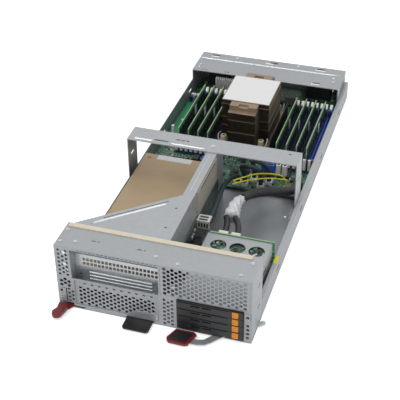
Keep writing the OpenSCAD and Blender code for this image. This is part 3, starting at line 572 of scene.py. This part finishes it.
class Repeater:
    """Geometry Nodes tree that repeats one small piece in rows and columns."""

    def __init__(self) -> None:
        """Builds the tree with its named inputs."""
        self.tree = bpy.data.node_groups.new("rows and columns", "GeometryNodeTree")
        face = self.tree.interface
        face.new_socket("Geometry", in_out="INPUT", socket_type="NodeSocketGeometry")
        face.new_socket("Geometry", in_out="OUTPUT", socket_type="NodeSocketGeometry")
        kinds = {"Piece": "Object", "Columns": "Int", "Rows": "Int", "Column step": "Vector",
                 "Row step": "Vector", "Start": "Vector", "Finish": "Material"}
        self.inputs = {name: face.new_socket(name, in_out="INPUT", socket_type=f"NodeSocket{kind}").identifier
                       for name, kind in kinds.items()}
        start = self.tree.nodes.new("NodeGroupInput")
        columns = self._node("GeometryNodeMeshLine", Count=start.outputs["Columns"],
                             Start_Location=start.outputs["Start"], Offset=start.outputs["Column step"])
        rows = self._node("GeometryNodeMeshLine", Count=start.outputs["Rows"],
                          Offset=start.outputs["Row step"])
        grid = self._node("GeometryNodeInstanceOnPoints", Points=columns.outputs[0], Instance=rows.outputs[0])
        places = self._node("GeometryNodeRealizeInstances", Geometry=grid.outputs[0])
        piece = self._node("GeometryNodeObjectInfo", Object=start.outputs["Piece"])
        copies = self._node("GeometryNodeInstanceOnPoints", Points=places.outputs[0],
                            Instance=piece.outputs["Geometry"])
        real = self._node("GeometryNodeRealizeInstances", Geometry=copies.outputs[0])
        painted = self._node("GeometryNodeSetMaterial", Geometry=real.outputs[0],
                             Material=start.outputs["Finish"])
        end = self.tree.nodes.new("NodeGroupOutput")
        self.tree.links.new(painted.outputs[0], end.inputs[0])

    def _node(self, kind: str, **links: Socket) -> bpy.types.Node:
        """Adds one node and links its inputs by name."""
        node = self.tree.nodes.new(kind)
        for name, source in links.items():
            self.tree.links.new(source, node.inputs[name.replace("_", " ")])
        return node

    def make(self, piece: Solids, finish: Finish, start: Point, columns: int, column_step: Point,
             rows: int = 1, row_step: Point = (0.0, 0.0, 0.0)) -> bpy.types.Mesh:
        """Returns one mesh with a piece repeated in rows and columns.

        Args:
            piece: The small piece, drawn about its own zero.
            finish: Its finish.
            start: Place of the first one in datum millimetres.
            columns: How many there are along the column step.
            column_step: Step between columns in millimetres.
            rows: How many there are along the row step.
            row_step: Step between rows in millimetres.
        """
        source_mesh = bpy.data.meshes.new("source")
        source_mesh.from_pydata(piece.points, [], piece.faces)
        source = bpy.data.objects.new("source", source_mesh)
        host = bpy.data.objects.new("host", bpy.data.meshes.new("host"))
        for item in (source, host):
            bpy.context.scene.collection.objects.link(item)
        modifier = host.modifiers.new("repeat", "NODES")
        modifier.node_group = self.tree
        values = {"Piece": source, "Columns": columns, "Rows": rows, "Finish": finish.material(),
                  "Start": list((Vector(start) - Vector(DATUM)) * MM),
                  "Column step": list(Vector(column_step) * MM), "Row step": list(Vector(row_step) * MM)}
        for name, value in values.items():
            modifier[self.inputs[name]] = value
        bpy.context.view_layer.update()
        graph = bpy.context.evaluated_depsgraph_get()
        made = bpy.data.meshes.new_from_object(host.evaluated_get(graph))
        for item in (source, host):
            bpy.data.objects.remove(item)
        return made


def joined(name: str, meshes: Sequence[bpy.types.Mesh]) -> bpy.types.Object:
    """Joins meshes that lie in the model's frame into one object."""
    whole = bmesh.new()
    finishes: list[bpy.types.Material] = []
    for mesh in meshes:
        first = len(whole.faces)
        whole.from_mesh(mesh)
        whole.faces.ensure_lookup_table()
        for material in mesh.materials:
            if material not in finishes:
                finishes.append(material)
        for face in whole.faces[first:]:
            face.material_index = finishes.index(mesh.materials[face.material_index])
    result = bpy.data.meshes.new(name)
    whole.to_mesh(result)
    whole.free()
    for material in finishes:
        result.materials.append(material)
    return bpy.data.objects.new(name, result)


def small(name: str) -> Solids:
    """Starts a small piece that is drawn about its own zero."""
    return Solids(name, corner=(0.0, 0.0, 0.0))


# ---------------------------------------------------------------- sub-assemblies


@dataclass
class Memory:
    """Memory modules with their chips, contacts and blank labels."""

    first: Plan = (32.0, 178.0)
    pitch: float = 14.7
    middle: float = 432.0
    length: float = 133.35
    height: float = 31.25
    thick: float = 1.3
    foot: float = 8.8
    edge: float = 0.5
    chip: Point = (1.0, 9.4, 7.6)
    chip_pitch: Plan = (12.9, 9.6)

    def build(self, repeat: Repeater) -> None:
        """Makes the boards and the chips of all modules."""
        back = self.middle - self.length / 2.0
        boards = Solids("memory_boards")
        meshes = []
        for row in self.first:
            for index in range(4):
                x = row + index * self.pitch - self.thick / 2.0
                rise = self.height - self.edge
                boards.box((x, back, self.foot), (self.thick, self.length, rise), BRIGHT_BOARD)
                boards.box((x, back, self.foot + rise), (self.thick, self.length, self.edge), BOARD_EDGE)
                boards.box((x + 0.05, back - 0.4, self.foot + 7.0), (1.2, 0.4, self.height - 7.0), BOARD_EDGE)
                label = (x + self.thick + 1.0, self.middle + 6.0, self.foot + 11.0)
                boards.box(label, (0.15, 9.0, 15.0), LABEL)
                for side in (-self.chip[0], self.thick):
                    meshes.append(self._chips(repeat, x + side, back))
        boards.build(CHASSIS, "board", "memory_modules")
        hand_in(joined("memory_chips", meshes), CHASSIS)

    def _chips(self, repeat: Repeater, x: float, back: float) -> bpy.types.Mesh:
        """Returns one side's two rows of chips."""
        chip = small("chip")
        chip.box((0.0, 0.0, 0.0), self.chip, CHIP)
        along, up = self.chip_pitch
        start = (x, back + 4.0, self.foot + 9.0)
        return repeat.make(chip, CHIP, start, 10, (0.0, along, 0.0), 2, (0.0, 0.0, up))


@dataclass
class Cooler:
    """Fin stack of the processor cooler with its bare white plate."""

    centre: Plan = (124.0, 432.0)
    foot: float = 17.0
    top: float = 81.0
    pitch: float = 1.73

    def build(self, repeat: Repeater) -> None:
        """Makes the fins and the plates."""
        x, y = self.centre
        fins = [self._fins(repeat, x - 34.8, y - 36.3, 41, 72.6, self.top - 1.0),
                self._fins(repeat, x - 19.8, y - 58.8, 24, 117.6, self.top - 8.0)]
        plates = Solids("cooler_plates")
        plates.box((x - 35.0, y - 36.5, self.top - 1.0), (70.0, 73.0, 1.0), COPPER)
        plates.box((x - 35.0, y - 36.5, self.foot), (70.0, 73.0, 0.8), FINS)
        plates.box((x - 20.0, y - 59.0, self.foot), (40.0, 118.0, 0.8), FINS)
        plates.box((x - 20.0, y - 59.0, self.top - 8.0), (40.0, 118.0, 1.0), COPPER)
        for z in (41.0, 61.0):
            plates.box((x - 20.2, y - 59.2, z), (40.4, 118.4, 0.5), COPPER)
        for z in (38.0, 52.0, 73.5):
            plates.box((x - 35.2, y - 36.8, z), (70.4, 73.6, 0.6), FINS if z < 60.0 else COPPER)
        plates.box((x - 34.0, y - 35.6, self.top), (68.0, 71.0, 0.3), LABEL)
        plates.build(CHASSIS, "copper", "cooler_fins")
        hand_in(joined("cooler_fin_stack", fins), CHASSIS)

    def _fins(self, repeat: Repeater, x: float, y: float, count: int, length: float,
              top: float) -> bpy.types.Mesh:
        """Returns one block of fins."""
        fin = small("fin")
        fin.box((0.0, 0.0, 0.0), (0.35, length, top - self.foot - 0.8), FINS)
        return repeat.make(fin, FINS, (x, y, self.foot + 0.8), count, (self.pitch, 0.0, 0.0))


@dataclass
class BoardParts:
    """Small parts, connectors and capacitors on the mainboard and on the end of the card."""

    top: float = 6.0
    seed: int = 11

    def build(self) -> None:
        """Makes every small part as one piece."""
        parts = Solids("board_parts")
        self._scatter(parts, (6.0, 295.0), (226.0, 346.0), 330)
        self._scatter(parts, (6.0, 522.0), (226.0, 556.0), 200)
        self._scatter(parts, (6.0, 352.0), (26.0, 400.0), 26)
        self._scatter(parts, (88.0, 352.0), (164.0, 371.0), 70)
        self._scatter(parts, (162.0, 376.0), (172.0, 500.0), 60)
        self._connectors(parts)
        parts.build(CHASSIS, "black_plastic")

    def _scatter(self, parts: Solids, low: Plan, high: Plan, count: int) -> None:
        """Strews small chip parts over one area.

        Args:
            parts: Where they are added.
            low: Front left corner of the area.
            high: Rear right corner of the area.
            count: How many there are.
        """
        dice = random.Random(self.seed + count)
        kinds = ((1.2, 0.7, 0.5, WHITE), (1.8, 1.1, 0.7, BRASS_NUT), (2.6, 1.8, 1.1, CHIP),
                 (4.5, 3.4, 1.3, CHIP), (3.0, 3.0, 2.0, ALUMINIUM), (6.5, 6.5, 3.4, CHIP),
                 (1.6, 0.9, 0.6, BRIGHT))
        for _ in range(count):
            wide, deep, tall, finish = dice.choices(kinds, (9, 8, 6, 3, 1, 1, 8))[0]
            if dice.random() < 0.5:
                wide, deep = deep, wide
            x, y = dice.uniform(low[0], high[0] - wide), dice.uniform(low[1], high[1] - deep)
            parts.box((x, y, self.top), (wide, deep, tall), finish)

    def _connectors(self, parts: Solids) -> None:
        """Adds the connectors, capacitors and the post."""
        parts.box((164.0, 337.0, self.top), (18.0, 7.0, 13.0), BLUE)
        parts.box((165.5, 338.5, self.top + 12.9), (15.0, 4.0, 0.2), CHIP)
        for x in (187.0, 196.0):
            parts.box((x, 330.0, self.top), (6.0, 7.0, 20.0), WHITE)
            parts.box((x + 1.2, 331.5, self.top + 19.9), (3.6, 4.0, 0.2), CHIP)
        parts.box((12.0, 391.0, self.top), (4.0, 4.0, 19.0), WHITE)
        for x, y in ((36.0, 334.0), (45.0, 334.0), (54.0, 335.0), (116.0, 336.0), (126.0, 337.0)):
            parts.can((x, y, self.top), 3.2, 7.5, ALUMINIUM)
            parts.can((x, y, self.top + 7.5), 2.6, 0.2, CHIP)
        for x in (64.0, 76.0, 88.0):
            parts.box((x, 330.0, self.top), (8.0, 11.0, 9.0), BLUE if x == 76.0 else BLACK)
            parts.box((x + 1.4, 331.6, self.top + 8.9), (5.2, 7.8, 0.2), WHITE if x == 88.0 else CHIP)
        for x in (8.0, 17.0):
            parts.can((x, 500.0, self.top), 3.0, 9.0, NAVY)
            parts.box((x - 3.0, 510.0, self.top), (7.0, 5.0, 6.0), LABEL)
        for step in range(6):
            parts.box((8.0 + step * 3.0, 300.0, self.top), (2.2, 12.0, 1.4), CHIP)


@dataclass
class Cables:
    """Data cables, the power bundle, the signal wires and the white wrap, on the routes of the solids."""

    data: tuple[tuple[Point, ...], ...] = (
        ((142, 158, 46), (142, 176, 46), (140, 200, 46), (138, 225, 44), (137, 250, 40), (138, 270, 34),
         (139, 286, 26), (140, 299, 19), (140, 299, 12)),
        ((150, 299, 12), (150, 299, 22), (148, 291, 40), (150, 284, 48), (157, 280, 52), (165, 281, 50),
         (171, 288, 42), (173, 299, 24), (173, 299, 12)),
        ((160, 314, 12), (160, 314, 24), (160, 303, 42), (164, 297, 50), (171, 297, 50), (178, 302, 42),
         (182, 311, 24), (182, 311, 12)),
    )
    leads: tuple[tuple[Point, ...], ...] = (
        ((167, 138, 44), (167, 147, 44), (164, 162, 44), (160, 173, 42)),
        ((183, 138, 44), (183, 147, 44), (178, 162, 45), (172, 173, 43)),
    )
    wrap: tuple[Point, ...] = ((166, 175, 42), (165, 188, 43), (165, 202, 44), (168, 216, 43))
    bundle: tuple[Point, ...] = (
        (168.6, 219, 42.6), (174, 232, 40), (184, 246, 36), (197, 257, 33), (211, 266, 30), (221, 278, 26),
        (225, 290, 25), (225.5, 299.5, 22), (225.5, 299.5, 14))
    wires: tuple[tuple[Point, ...], ...] = (
        ((150, 236, 50), (162, 246, 50), (176, 258, 48), (192, 268, 46), (206, 276, 42), (213, 290, 32),
         (213, 298, 22), (213, 298, 13)),
        ((150, 240, 53), (162, 250, 54), (176, 262, 54), (192, 273, 50), (204, 282, 44), (209, 292, 32),
         (209, 298, 22), (209, 298, 13)),
    )

    def build(self) -> None:
        """Makes each kind of cable as one piece."""
        data = Solids("smooth_data_cables")
        for route in self.data:
            data.tube(route, lambda along, turn: 3.3, TEAL)
        data.build(CHASSIS, "cable_teal", "data_cables")
        power = Solids("smooth_power_cable")
        for route in self.leads:
            power.tube(route, lambda along, turn: 3.9, SATIN_BLACK)
        power.tube(self.bundle, lambda along, turn: 6.3 + 0.15 * math.sin(5.0 * turn), MESH_SLEEVE, sides=28)
        power.build(CHASSIS, "cable_black", "power_cable")
        wires = Solids("smooth_signal_wires")
        for route in self.wires:
            wires.tube(route, lambda along, turn: 0.9, WIRE_YELLOW, sides=12)
        wires.build(CHASSIS, "wire_yellow", "signal_wires")
        wrap = Solids("crumpled_wrap")
        wrap.tube(self.wrap, self._crumple, WRAP, sides=40, steps=14)
        wrap.build(CHASSIS, "white_plastic", "cable_wrap")

    @staticmethod
    def _crumple(along: float, turn: float) -> float:
        """Returns the radius of the loosely wound wrap."""
        folds = abs(math.sin(3.0 * turn + 9.0 * along)) * 1.5 + abs(math.sin(5.0 * turn - 17.0 * along)) * 0.9
        return 11.6 - 4.4 * along - folds


@dataclass
class Labels:
    """Bare labels and small pads."""

    grip: tuple[Plan, ...] = (
        (152.6, -6.6), (147.2, -19.6), (148.2, -23.8), (167.0, -24.6), (172.0, -8.6), (170.6, -7.4))

    def build(self) -> None:
        """Makes the card's label and the pad of the right grip."""
        card = Solids("card_label")
        card.box((31.0, 271.0, 44.9), (49.0, 11.0, 0.15), LABEL)
        card.build(CHASSIS, "white_plastic")
        pad = Solids("grip_pad")
        pad.prism(self.grip, 3.95, 4.5, SATIN_BLACK)
        pad.build("right_lever", "black_plastic")


@dataclass
class SheetDetails:
    """Pressed ribs of the sheet metal, and painted highlight and shade marks at its slits, lances, folded
    edge and rail top.
    """

    top: float = 92.0
    riser_top: float = 90.8
    rear_top: float = 46.5

    def build(self) -> None:
        """Makes the ribs, and the painted highlights and shade on the sheet."""
        ribs = Solids("pressed_ribs")
        lines = (
            ((27.5, 54.3), (98.5, 114.5), self.riser_top),
            ((10.5, 246.0), (36.0, 246.0), self.top),
            ((62.5, 246.0), (108.0, 246.0), self.top),
            ((7.0, 571.0), (225.0, 571.0), self.rear_top),
        )
        for start, end, top in lines:
            self._rib(ribs, start, end, top)
        ribs.build(CHASSIS, "steel")
        lances = Solids("lances_and_slits")
        # Near-white plates in the rear bracket's slots and near-white dots on it: painted highlights.
        places = ((18.0, 577.4, 13.0), (108.0, 577.0, 13.0), (189.0, 577.0, 15.0), (191.0, 532.6, 13.0))
        for x, y, wide in places:
            lances.box((x, y, self.rear_top), (wide, 3.4, 0.35), PAINTED_HIGHLIGHT_WHITE)
        for x, y in ((9.0, 540.0), (221.0, 560.0), (60.0, 583.0), (160.0, 583.0)):
            lances.can((x, y, self.rear_top), 1.7, 0.5, PAINTED_HIGHLIGHT_WHITE)
        # Thin black sheet beside the riser rib, where its down-turned edge lies in shade: painted shade.
        lances.prism(((36.5, 67.6), (37.2, 66.8), (101.5, 121.3), (100.8, 122.1)), self.riser_top,
                     self.riser_top + 0.05, SATIN_BLACK)
        # Dark strip then near-white strip along the riser bracket's fold: painted shade and painted
        # highlight.
        lances.box((118.3, 150.0, self.riser_top), (0.7, 82.0, 0.3), DARK_STEEL)
        lances.box((119.0, 150.0, self.riser_top), (0.5, 82.0, 0.35), PAINTED_HIGHLIGHT_WHITE)
        # Paler strip on top of the right rail: painted highlight on its lit top.
        lances.box((235.2, 46.5, 27.0), (4.8, 543.0, 0.12), PALE_STEEL)
        lances.build(CHASSIS, "bright_steel")

    def _rib(self, ribs: Solids, start: Plan, end: Plan, top: float) -> None:
        """Adds one pressed rib with round ends, in a lighter sheet that paints its highlight."""
        first, last = Vector((*start, top - 0.6)), Vector((*end, top - 0.6))
        route = [first.lerp(last, share) for share in (0.0, 0.02, 0.5, 0.98, 1.0)]
        ribs.tube(route, lambda along, turn: 2.3 * min(1.0, 0.35 + 12.0 * min(along, 1.0 - along)), RIB_STEEL_PAINTED_HIGHLIGHT,
                  sides=16, flat=0.75)


@dataclass
class DriveBoard:
    """Parts on the drive backplane and on the riser board, and the bright slot."""

    back: float = 131.6
    riser: float = 129.2
    seed: int = 5

    def build(self) -> None:
        """Makes the parts of both upright boards."""
        dice = random.Random(self.seed)
        parts = Solids("upright_board_parts")
        for _ in range(60):
            x, z = dice.uniform(152.0, 228.0), dice.uniform(8.0, 44.0)
            size = dice.uniform(1.5, 5.0), dice.uniform(0.6, 1.6), dice.uniform(1.2, 3.0)
            parts.box((x, self.back, z), size, CHIP)
        for _ in range(46):
            y, z = dice.uniform(90.0, 138.0), dice.uniform(8.0, 43.0)
            side = dice.uniform(1.5, 4.5)
            size = dice.uniform(0.8, 2.0), side, side * 0.8
            parts.box((self.riser, y, z), size, dice.choice((CHIP, CHIP, WHITE)))
        for z in (8.0, 17.0, 26.0):
            parts.box((self.riser, 96.0, z), (9.0, 40.0, 6.5), BLACK)
        for y in (146.0, 150.4, 154.8):
            parts.box((145.9, y, 42.0), (0.25, 2.4, 8.0), CHIP)
        for z in (38.0, 46.0):
            for x in (162.5, 166.5, 170.5, 178.5, 182.5, 186.5):
                parts.box((x, 137.7, z), (1.6, 0.2, 1.2), CHIP)
        parts.build(CHASSIS, "black_plastic")
        slot = Solids("bright_slot")
        for x in (226.35, 230.35):
            slot.box((x, 366.3, 6.1), (2.2, 131.6, 8.1), BLUE)
            for y in (360.1, 500.0):
                slot.box((x, y, 6.1), (2.2, 3.9, 17.1), BLUE)
        slot.build(CHASSIS, "navy_plastic")


@dataclass
class CoolerFasteners:
    """Spring nuts of the cooler with their wire clips."""

    across: Plan = (96.0, 152.0)
    along: Plan = (380.0, 484.0)

    def build(self) -> None:
        """Makes the four nuts and the clips."""
        nuts = Solids("spring_nuts")
        for x in self.across:
            outward = -1.0 if x < 124.0 else 1.0
            for y in self.along:
                nuts.can((x, y, 6.0), 2.3, 11.2, PIN_STEEL)
                nuts.can((x, y, 17.0), 3.6, 4.2, NUT, 20)
                nuts.can((x, y, 21.0), 4.3, 9.0, NUT, 24)
                nuts.can((x, y, 30.0), 3.7, 0.8, NUT, 24)
                nuts.can((x, y, 30.8), 2.0, 0.1, CHIP, 12)
                clip = ((x + outward * 4.0, y - 3.0, 19.0), (x + outward * 7.5, y - 2.0, 24.0),
                        (x + outward * 8.6, y + 3.0, 29.0), (x + outward * 7.0, y + 8.0, 30.0))
                nuts.tube(clip, lambda along, turn: 0.6, WHITE, sides=10)
        nuts.build(CHASSIS, "bright_steel", "cooler_nuts")


@dataclass
class SmallMarks:
    """Drive boards, dark sheets of painted shade in slots, stickers, heatsink fins with a painted highlight
    and the bare strip of the mainboard.
    """

    def build(self, repeat: Repeater) -> None:
        """Makes the pieces."""
        # Black and dark brown sheets in the slots and gaps: painted shade.
        slot_shade = Solids("slot_backs")
        slot_shade.box((27.5, 1.25, 88.5), (98.0, 0.2, 1.6), CHIP)
        slot_shade.box((30.0, 2.25, 38.6), (98.0, 0.3, 2.8), CHIP)
        slot_shade.box((128.62, 166.0, 83.8), (0.12, 60.0, 2.0), SLIT)
        slot_shade.box((131.5, 146.0, 52.0), (11.0, 3.0, 0.2), CHIP)
        slot_shade.box((131.5, 151.5, 52.0), (11.0, 3.0, 0.2), CHIP)
        for step in range(4):
            slot_shade.box((131.0 + step * 3.6, 143.85, 42.0), (2.2, 0.15, 6.5), CHIP)
        slot_shade.build(CHASSIS, "black_plastic")
        board = Solids("drive_board")
        board.box((154.0, 90.0, 44.22), (70.0, 34.0, 0.6), DARK_BOARD)
        dice = random.Random(3)
        for _ in range(60):
            size = dice.uniform(1.5, 5.0)
            board.box((dice.uniform(155.0, 218.0), dice.uniform(91.0, 118.0), 44.82), (size, size * 0.8, 0.9),
                      dice.choice((CHIP, CHIP, BRIGHT_BOARD, BRIGHT)))
        board.build("tray_4", "board")
        strip = Solids("bare_board_strip")
        strip.box((5.0, 403.0, 6.0), (21.5, 92.0, 0.06), PLAIN_GREEN)
        strip.box((235.3, 118.0, 27.12), (4.5, 15.0, 0.1), WIRE_YELLOW)
        strip.box((151.0, 129.9, 48.7), (83.0, 1.9, 0.3), BOARD_EDGE)
        strip.build(CHASSIS, "board")
        fin = small("fin")
        fin.box((0.0, 0.0, 0.0), (0.9, 6.5, 31.0), ALUMINIUM)
        # Fins finished near-white instead of aluminium, so that they read lit in the rear bracket's shade:
        # painted highlight.
        fins = repeat.make(fin, PAINTED_HIGHLIGHT_WHITE, (42.0, 521.0, 9.0), 9, (3.2, 0.0, 0.0))
        hand_in(joined("regulator_fins", [fins]), CHASSIS)


# ---------------------------------------------------------------- studio


@dataclass
class Studio:
    """Camera, soft light and pale floor."""

    eye: Point = (0.3326, -1.1508, 0.8388)
    yaw: float = 17.678
    pitch: float = 35.729
    roll: float = -0.695
    lens: float = 93.69
    floor_size: float = 14.0
    floor_tone: float = 0.82
    floor_glow: float = 0.6

    def camera(self) -> None:
        """Places the camera."""
        yaw, pitch, roll = (math.radians(angle) for angle in (self.yaw, self.pitch, self.roll))
        look = Vector((-math.sin(yaw) * math.cos(pitch), math.cos(yaw) * math.cos(pitch), -math.sin(pitch)))
        right = Vector((math.cos(yaw), math.sin(yaw), 0.0))
        up = right.cross(look)
        side = right * math.cos(roll) + up * math.sin(roll)
        top = up * math.cos(roll) - right * math.sin(roll)
        data = bpy.data.cameras.new("camera")
        data.lens, data.sensor_width, data.clip_start, data.clip_end = self.lens, 36.0, 0.05, 60.0
        camera = bpy.data.objects.new("camera", data)
        camera.matrix_world = Matrix((
            (side.x, top.x, -look.x, self.eye[0]),
            (side.y, top.y, -look.y, self.eye[1]),
            (side.z, top.z, -look.z, self.eye[2]),
            (0.0, 0.0, 0.0, 1.0)))
        bpy.context.scene.collection.objects.link(camera)
        bpy.context.scene.camera = camera

    def lamp(self, name: str, place: Point, aim: Point, size: float, watts: float) -> None:
        """Places one square soft lamp.

        Args:
            name: Name of the lamp.
            place: Where it stands, in metres.
            aim: The point that it faces.
            size: Length of its side in metres.
            watts: Its power.
        """
        data = bpy.data.lights.new(name, "AREA")
        data.size, data.energy = size, watts
        lamp = bpy.data.objects.new(name, data)
        lamp.location = place
        lamp.rotation_euler = (Vector(aim) - Vector(place)).to_track_quat("-Z", "Y").to_euler()
        bpy.context.scene.collection.objects.link(lamp)

    def lights(self) -> None:
        """Lights the object softly from above, the front and the left, before a white surrounding."""
        self.lamp("key lamp", (-0.9, -0.9, 2.0), (0.0, 0.0, 0.05), 1.2, 20.0)
        self.lamp("top lamp", (0.5, 0.6, 2.2), (0.0, 0.1, 0.05), 1.6, 17.0)
        self.lamp("front lamp", (0.9, -2.0, 0.9), (0.0, -0.2, 0.05), 1.0, 5.5)
        world = bpy.data.worlds.new("surrounding")
        bpy.context.scene.world = world
        world.use_nodes = True
        nodes, links = world.node_tree.nodes, world.node_tree.links
        nodes.clear()
        paths = nodes.new("ShaderNodeLightPath")
        seen = self._any(nodes, links, paths.outputs["Is Camera Ray"], paths.outputs["Is Glossy Ray"],
                         paths.outputs["Is Transmission Ray"])
        level = nodes.new("ShaderNodeMapRange")
        level.inputs["To Min"].default_value = 0.3
        level.inputs["To Max"].default_value = 1.0
        links.new(seen, level.inputs["Value"])
        back = nodes.new("ShaderNodeBackground")
        back.inputs["Color"].default_value = (1.0, 1.0, 1.0, 1.0)
        links.new(level.outputs[0], back.inputs["Strength"])
        links.new(back.outputs[0], nodes.new("ShaderNodeOutputWorld").inputs["Surface"])

    @staticmethod
    def _any(nodes: Any, links: Any, *rays: Socket) -> Socket:
        """Returns 1 where any of the ray kinds is true."""
        total = rays[0]
        for ray in rays[1:]:
            larger = nodes.new("ShaderNodeMath")
            larger.operation = "MAXIMUM"
            links.new(total, larger.inputs[0])
            links.new(ray, larger.inputs[1])
            total = larger.outputs[0]
        return total

    def floor(self) -> None:
        """Lays a pale floor that looks white to the camera and keeps the object's shadow."""
        half = self.floor_size / 2.0
        mesh = bpy.data.meshes.new("floor")
        mesh.from_pydata([(-half, -half, 0.0), (half, -half, 0.0), (half, half, 0.0), (-half, half, 0.0)],
                         [], [(0, 1, 2, 3)])
        floor = bpy.data.objects.new("floor", mesh)
        floor.location.z = -0.0006
        tree = ShaderTree("floor paint")
        speck = tree.noise(120.0, 3.0)
        tone = tree.levels(speck, 0.3, 0.7, self.floor_tone * 0.99, self.floor_tone)
        colour = tree.add("ShaderNodeCombineColor", Red=tone, Green=tone, Blue=tone).outputs[0]
        material = tree.finish(Base_Color=colour, Roughness=0.9)
        paths = tree.add("ShaderNodeLightPath")
        seen = self._any(tree.nodes, tree.links, paths.outputs["Is Camera Ray"],
                         paths.outputs["Is Glossy Ray"])
        strength = tree.maths("MULTIPLY", seen, self.floor_glow)
        glow = tree.add("ShaderNodeEmission", Color=(1.0, 1.0, 1.0), Strength=strength)
        total = tree.add("ShaderNodeAddShader", i0=tree.surface.outputs[0], i1=glow.outputs[0])
        tree.links.new(total.outputs[0], tree.output.inputs["Surface"])
        mesh.materials.append(material)
        bpy.context.scene.collection.objects.link(floor)

    def build(self) -> None:
        """Makes the whole studio."""
        self.camera()
        self.lights()
        self.floor()


def paint_frame(frame: dict[str, Any]) -> None:
    """Gives every CAD node its finish.
    """
    for finish, names in NODE_FINISHES.items():
        for name in names.split():
            node = frame["nodes"][name]
            for holder in node.material_slots:
                holder.material = finish.material()
            LOG.info("painted %s with %s", name, finish.name)


def main() -> None:
    """Builds the studio and dresses the model, sub-assembly by sub-assembly."""
    logging.basicConfig(level=logging.INFO, format="%(name)s: %(message)s")
    bpy.context.scene.view_settings.view_transform = "Standard"
    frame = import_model()
    Studio().build()
    paint_frame(frame)
    repeat = Repeater()
    Memory().build(repeat)
    Cooler().build(repeat)
    BoardParts().build()
    Cables().build()
    Labels().build()
    SheetDetails().build()
    DriveBoard().build()
    CoolerFasteners().build()
    SmallMarks().build(repeat)


if __name__ == "__main__":
    main()
